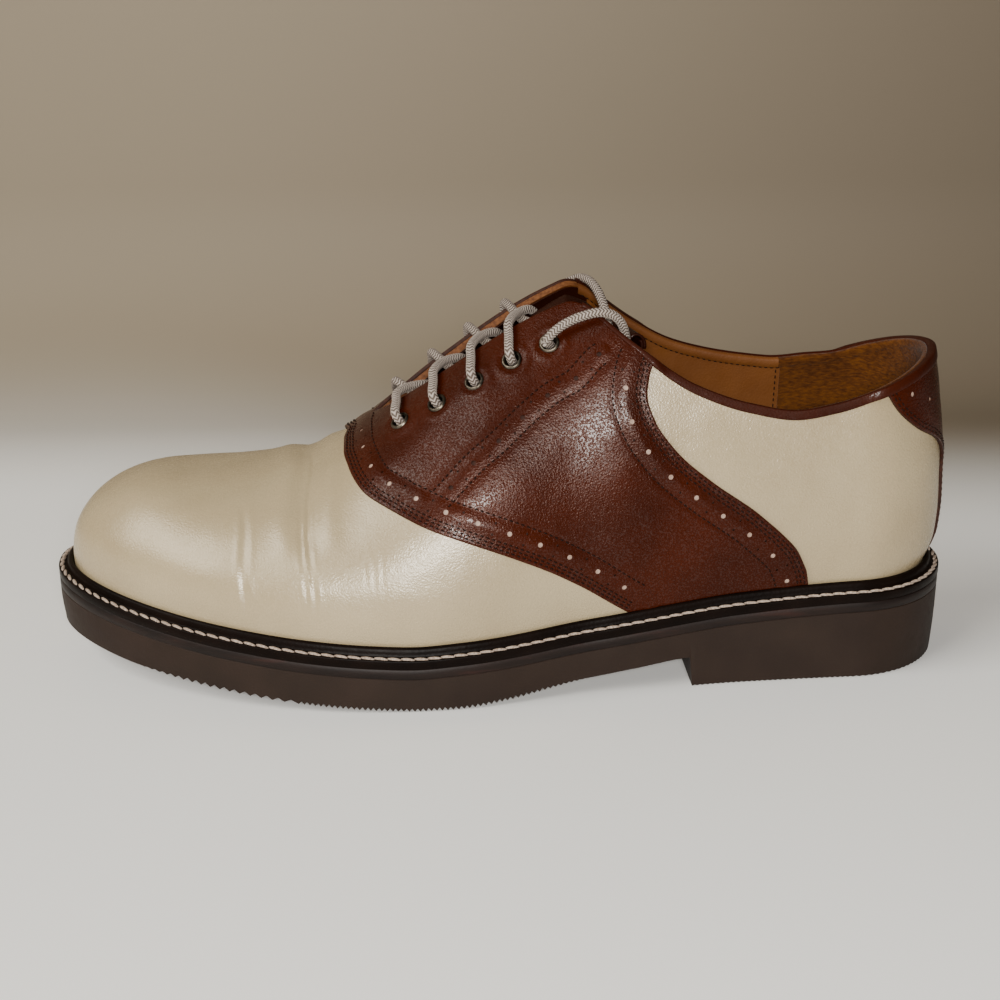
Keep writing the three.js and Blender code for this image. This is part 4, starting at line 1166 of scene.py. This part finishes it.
def tongue():
    mesh = bmesh.new()

    def spot(step, side, line):
        k = section_at(read(TONGUE, "section", step) * SOLE_LENGTH)
        form = section_of(k)
        width = read(TONGUE, LABELS[side], step) * TONGUE_WIDTH
        angle = mix(angle_beside(form, side, width), QUARTER, line)
        depth = UPPER_WALL + read(TONGUE, "drop", step) * LACE
        ridge = last_normal(k, side, QUARTER) + last_normal(k, -side, QUARTER)
        normal = last_normal(k, side, angle).lerp(ridge.normalized(), math.sqrt(line)).normalized()
        point = bare_point(k, side, angle) - normal * depth
        point.x -= read(TONGUE, "back", step) * TONGUE_CURL
        point.z -= read(TONGUE, "down", step) * TONGUE_CURL
        return in_frame(point)

    both_sides(mesh, steps(0, 1, 70), steps(0, 1, 14), spot)
    inside = [vert for vert in mesh.verts if not vert.is_boundary]
    for _ in range(12):
        bmesh.ops.smooth_vert(mesh, verts=inside, factor=0.5, use_axis_x=True, use_axis_y=True,
                              use_axis_z=True)
    made = finished("tongue_leather_and_shade", mesh, (TONGUE_LEATHER_AND_SHADE, RAW_EDGE), ("tongue",))
    walled(made, 2.0, even=False)


def tongue_roll():
    """Rolled upper edge of the tongue, its outer end in view inside the throat."""
    mesh = bmesh.new()
    path = smooth_path(TONGUE_ROLL, 1.0)

    def spot(point, share):
        turn = math.radians(200) - share * math.radians(420)
        size = mix(1.0, 0.62, share)
        return in_frame(point + Vector((2.6 * size * math.cos(turn), 0, 3.5 * size * math.sin(turn))))

    lay(mesh, path, steps(0, 1, 28), spot)
    made = finished("tongue_roll", mesh, (TONGUE_LEATHER_AND_SHADE, RAW_EDGE))
    walled(made, 0.9, even=False)


def eyelet(index, label):
    """Rolled metal eyelet, spun from its section."""
    mesh = bmesh.new()
    top = LEATHER + 0.12
    section = [(2.25, -2.9), (2.25, top), (2.35, top + 0.4), (2.6, top + 0.64), (2.95, top + 0.66),
               (3.3, top + 0.4), (3.45, top), (2.5, top - 0.05), (2.5, -2.9), (2.25, -2.9)]
    ring = [mesh.verts.new((x, 0, z)) for x, z in section[:-1]]
    rim = [mesh.edges.new((a, b)) for a, b in zip(ring, ring[1:] + ring[:1])]
    bmesh.ops.spin(mesh, geom=ring + rim, cent=(0, 0, 0), axis=(0, 0, 1), angle=2 * math.pi,
                   steps=28, use_merge=True)
    weld(mesh, 0.001)
    bmesh.ops.recalc_face_normals(mesh, faces=mesh.faces)
    bmesh.ops.transform(mesh, verts=mesh.verts, matrix=square_on(*eyelet_place(index, SIDES[label])))
    finished(f"eyelet_ring_{label}_{index + 1}", mesh, (METAL,),
             (f"eyelet_{label}_{index + 1}",), sharp=50)


def smooth_path(points, pitch):
    """Points at about a pitch along a smooth curve through the given ones."""
    points = [Vector(point) for point in points]
    path = []
    for i, (start, end) in enumerate(zip(points, points[1:])):
        before = points[i - 1] if i else start * 2 - end
        after = points[i + 2] if i + 2 < len(points) else end * 2 - start
        reach = (end - start).length
        out = start + (end - before).normalized() * reach / 3
        back = end - (after - start).normalized() * reach / 3
        count = max(2, round(reach / pitch))
        path += interpolate_bezier(start, out, back, end, count + 1)[:-1]
    return path + [points[-1]]


def braid_tube(name, points, node_names=(), pitch=0.34):
    """Round braided lace swept along a path, its strands standing proud of it."""
    path = smooth_path(points, pitch)
    lengths, frames = [0.0], []
    side = (path[1] - path[0]).orthogonal()
    for i, point in enumerate(path):
        along = (path[min(i + 1, len(path) - 1)] - path[max(i - 1, 0)]).normalized()
        side = (side - along * side.dot(along)).normalized()
        frames.append((side.copy(), along.cross(side)))
        if i:
            lengths.append(lengths[-1] + (point - path[i - 1]).length)
    mesh = bmesh.new()
    count = 24

    def spot(i, j):
        a, b = frames[i]
        turn = 2 * math.pi * j / count
        rib = 1 - abs(2 * (BRAID_RIBS * j / count % 1) - 1)
        weave = math.sin(2 * math.pi * (lengths[i] / BRAID_PITCH + 0.75 * rib))
        radius = LACE / 2 * (0.93 + 0.045 * weave)
        return in_frame(path[i] + (a * math.cos(turn) + b * math.sin(turn)) * radius)

    rings = lay(mesh, range(len(path)), range(count + 1), spot)
    layer = mesh.loops.layers.uv.new("braid")
    for face in mesh.faces:
        for loop in face.loops:
            i, j = rings[loop.vert]
            loop[layer].uv = (j / count, lengths[i] / BRAID_PITCH)
    bmesh.ops.remove_doubles(mesh, verts=mesh.verts, dist=0.000005)
    bmesh.ops.holes_fill(mesh, edges=[each for each in mesh.edges if each.is_boundary])
    bmesh.ops.recalc_face_normals(mesh, faces=mesh.faces)
    made = finished(name, mesh, (BRAID,), node_names, sharp=180)
    return made, path, lengths[-1]


def lifted(spot, height):
    return spot[0] + spot[1] * height


def facing_edge(s, side):
    k = section_at(s)
    top = top_angle(k, side)
    return bare_point(k, side, top), last_normal(k, side, top)


LACE_CLEAR = OVERLAY_GAP + LEATHER + LACE / 2
LACE_UNDER = -UPPER_WALL - LACE / 2


def strand(index, side, cross_lift):
    """One run of lace: up out of an eyelet, over its facing, across and under the other one."""
    start = eyelet_place(index, side)
    s = start[0].x
    near = facing_edge(s - NEAR_BACK, side)
    lean = (near[0] - start[0]).normalized()
    over = lifted(facing_edge(s - CROSS_BACK, OUTER), cross_lift).lerp(
        lifted(facing_edge(s - CROSS_BACK, INNER), cross_lift), 0.5)
    far = facing_edge(s - FAR_BACK, -side)
    below = eyelet_place(index + 1, -side)
    deep = LACE_UNDER - 0.7
    return [
        lifted(start, deep - 0.6), lifted(start, -0.6), lifted(start, 2.0),
        lifted(start, 4.2) + lean * 1.6,
        lifted(start, LACE_CLEAR + 0.9).lerp(lifted(near, LACE_CLEAR + 0.7), 0.62),
        lifted(near, LACE_CLEAR + 0.5),
        over,
        lifted(far, deep + 0.5).lerp(over, 0.22),
        lifted(far, deep) + (below[0] - far[0]) * 0.3,
        lifted(below, deep - 0.6),
    ]


def laces():
    for index in range(EYELET_COUNT - 1):
        name = f"lace_crossing_{index + 1}"
        braid_tube(f"lace_over_{index + 1}", strand(index, OUTER, LACE * OUTER_OVER), (name,))
        braid_tube(f"lace_under_{index + 1}", strand(index, INNER, LACE * INNER_UNDER), (name,))


def free_ends():
    for label, points in FREE_ENDS.items():
        made, path, length = braid_tube(f"lace_free_{label}", points, (f"lace_end_{label}",))
        in_frame(path[0])
        length * MM
        [in_frame(point) for point in path[::4] + [path[-1]]]
        start = eyelet_place(EYELET_COUNT - 1, SIDES[label])
        away = (Vector(points[1]) - Vector(points[0])).normalized()
        braid_tube(f"lace_rise_{label}", [lifted(start, LACE_UNDER - 1.3), lifted(start, -0.4),
                                          Vector(points[0]) - away * 0.35],
                   (f"lace_crossing_{EYELET_COUNT - 1}",))


def welt():
    mesh = bmesh.new()
    w, top, lip = WELT_WIDTH, WELT_THICKNESS, WELT_THICKNESS + LIP_HEIGHT
    profile = [(w - 0.9, -0.15), (0.25, -0.15), (0, 0.1), (0, 2.5), (0.12, 2.85), (0.5, top),
               (1.0, 2.88), (1.5, 2.72), (2.0, 2.88), (2.6, top), (2.85, 3.3), (3.05, 4.3),
               (3.3, lip - 0.75), (3.75, lip - 0.15), (4.3, lip), (4.75, lip - 0.2),
               (w - 0.45, lip - 0.7), (w - 0.45, top), (w - 0.9, -0.15)]

    def spot(k, side, row):
        s, y = edge(k, side, row[0])
        return in_frame((s, y, feather(s) + row[1]))

    both_sides(mesh, sections(34, 120, 60), profile, spot, INNER)
    bmesh.ops.recalc_face_normals(mesh, faces=mesh.faces)
    finished("storm_welt", mesh, (WELT,), ("welt",), sharp=60)
    path, around = [], steps(0, 1, 700)
    for side, k in [(OUTER, k) for k in around] + [(INNER, k) for k in around[-2::-1]]:
        s, y = edge(k, side, 1.25)
        path.append((Vector((s, y, welt_top(s) + 0.02)), Vector((0, 0, 1))))
    stitching("welt_stitches", [path], 4.3, (4.9, 1.25, 1.2), PALE_THREAD, skew=0.24, finer=2)


def plate(name, columns, profile, material, node_name, under=None, across=2, sharp=50):
    """A layer of the sole: its side from the bottom up, closed below and above."""
    mesh = bmesh.new()

    def wall(k, side, row):
        inset, height = row
        s, y = edge(k, side, inset)
        return in_frame((s, y, height(s, k)))

    def flat(k, share, inset, height, rib_height):
        (s, low), (_, high) = edge(k, OUTER, inset), edge(k, INNER, inset)
        z = height(s, k)
        if rib_height and 0 < share < 1:
            z = rib_height(s, k, min(share, 1 - share) * (high - low))
        return in_frame((s, mix(low, high, share), z))

    for side in (OUTER, INNER):
        lay(mesh, columns, profile, lambda k, row: wall(k, side, row), turn=side == INNER)
    lay(mesh, columns, steps(0, 1, across), lambda k, share: flat(k, share, *profile[0], under))
    lay(mesh, columns, steps(0, 1, 4), lambda k, share: flat(k, share, *profile[-1], None), turn=True)
    weld(mesh, 0.00001)
    bmesh.ops.recalc_face_normals(mesh, faces=mesh.faces)
    finished(name, mesh, (material,), (node_name,), sharp=sharp)


def midsole():
    profile = [(MIDSOLE_EDGE + inset, lambda s, k, up=up: midsole_top(s) - MIDSOLE_THICKNESS + up)
               for inset, up in ((0.25, -0.15), (0, 0.1), (0, 3.1), (0.25, 3.35))]
    plate("midsole_layer", sections(30, 90, 50), profile, MIDSOLE, "midsole")


def outsole():
    columns = sections(48, 208, 80, (section_at(HEEL_LENGTH - 0.5), section_at(HEEL_LENGTH + 0.5)))
    order = {k: i for i, k in enumerate(columns)}

    def tooth(s, k):
        fade = ease((s - TREAD_START) / TREAD_FADE) * ease((TREAD_END - s) / TREAD_FADE)
        return TOOTH * fade + HEEL_TOOTH * (s < HEEL_LENGTH - 1) if order[k] % 2 else 0.0

    def low(s, k):
        return tread_height(s) + tooth(s, k)

    def taper(share):
        return 0.2 + 0.9 * (1 - share) ** 2

    profile = [(1.5, low), (1.2, lambda s, k: tread_height(s) + max(tooth(s, k), 0.15)),
               (1.1, lambda s, k: tread_height(s) + 1.4)]
    for share in (0.16, 0.35, 0.6, 0.85):
        profile.append((taper(share), lambda s, k, share=share: mix(
            tread_height(s) + 1.4, outsole_top(s) - 0.3, share)))
    profile += [(0.2, lambda s, k: outsole_top(s) - 0.1), (0.45, lambda s, k: outsole_top(s) + 0.15)]

    def under(s, k, away):
        if away <= RIB_INSET:
            return tread_height(s) + tooth(s, k)
        ribbed = (RIB_START < s < RIB_END or s < HEEL_LENGTH - 1) and order[k] % 4 < 2
        return tread_height(s) + (RIB if ribbed else 0.0)

    plate("moulded_sole", columns, profile, SOLE, "outsole", under=under, across=14, sharp=35)


def dress_solids():
    """Finishes of the solids that are seen as they are."""
    for name, finish in (("insole", LINING), ("lace_tip_outer", METAL), ("lace_tip_inner", METAL)):
        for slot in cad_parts[name].material_slots:
            slot.material = finish


def aimed(name, data, spot, back):
    """A camera or a light at a spot, with its back towards a direction."""
    made = bpy.data.objects.new(name, data)
    made.location = spot
    made.rotation_euler = back.to_track_quat("Z", "Y").to_euler()
    bpy.context.scene.collection.objects.link(made)
    return made


def camera():
    azimuth, elevation, distance = math.radians(-3.5), math.radians(19), 0.650
    target = Vector((-0.001, (-10 - MIDDLE) * MM, 0.0565))
    back = Vector((math.sin(azimuth) * math.cos(elevation), -math.cos(azimuth) * math.cos(elevation),
                   math.sin(elevation)))
    data = bpy.data.cameras.new("camera")
    data.sensor_width, data.lens, data.clip_start = 36, 69.12, 0.01
    bpy.context.scene.camera = aimed("camera", data, target + back * distance, back)


def light(name, spot, size, power, colour):
    data = bpy.data.lights.new(name, "AREA")
    data.shape = "RECTANGLE"
    data.size, data.size_y = size
    data.energy = power
    data.color = colour
    aimed(name, data, spot, Vector(spot) - Vector((0, 0, 0.05)))


def studio():
    """Pale table in front of a dull wall, lit from close to the camera and from the left.

    The wall is clear from behind, so that the shoe can be looked at from all sides.
    """
    mesh = bmesh.new()
    wall, bend = 0.27, 0.10
    curve = [(wall + bend * math.sin(turn), bend - bend * math.cos(turn))
             for turn in steps(0, QUARTER, 12)[1:]]
    rows = [(-1.8, 0.0), (wall, 0.0), *curve, (wall + bend, 1.8)]
    lay(mesh, [-2.2, 2.2], rows, lambda x, row: Vector((x, row[0], row[1])))
    f = Finish("studio_paper")
    split = f.node("ShaderNodeSeparateXYZ", None, {"Vector": f.object_point()})
    depth = Number(f, split.socket.node.outputs[1])
    # The wall's dull tone darkens towards the right: painted shade of the light falling off across
    # it.
    wall_tone_and_shade = f.blend(f.clipped(split, -0.15, 0.45), (0.250, 0.205, 0.145), (0.125, 0.099, 0.069))
    front = depth - f.clipped(split, -0.2, 0.3) * -0.09
    colour = f.blend(f.clipped(front, 0.16, 0.35), (0.92, 0.92, 0.90), wall_tone_and_shade)
    seen_from_behind = f.node("ShaderNodeNewGeometry", output=6)
    paper = f.done(Base_Color=colour, Roughness=0.6, Specular_IOR_Level=0.25,
                   Alpha=1 - seen_from_behind)
    linked("studio_floor", mesh, (paper,))
    light("window", (-1.75, -0.95, 1.65), (1.9, 1.5), 60, (1.0, 0.97, 0.90))
    light("lamp", (-0.04, -1.05, 0.44), (0.30, 0.12), 14, (1.0, 0.97, 0.93))
    world = bpy.data.worlds.new("room")
    world.use_nodes = True
    background = world.node_tree.nodes["Background"]
    background.inputs["Color"].default_value = (0.80, 0.78, 0.76, 1)
    background.inputs["Strength"].default_value = 0.08
    bpy.context.scene.world = world


camera()
free_ends()
laces()
upper()
saddle()
backstay()
topline()
lining("quarter_lining", LINING, LINING_SEAM, section_at(0.62 * SOLE_LENGTH), 0.5)
lining("heel_lining", SUEDE, 0.0, LINING_SEAM, 0.7, nap=0.25)
seam_stitches()
tongue()
tongue_roll()
for eyelet_label in SIDES:
    for eyelet_index in range(EYELET_COUNT):
        eyelet(eyelet_index, eyelet_label)
welt()
midsole()
outsole()
dress_solids()
studio()
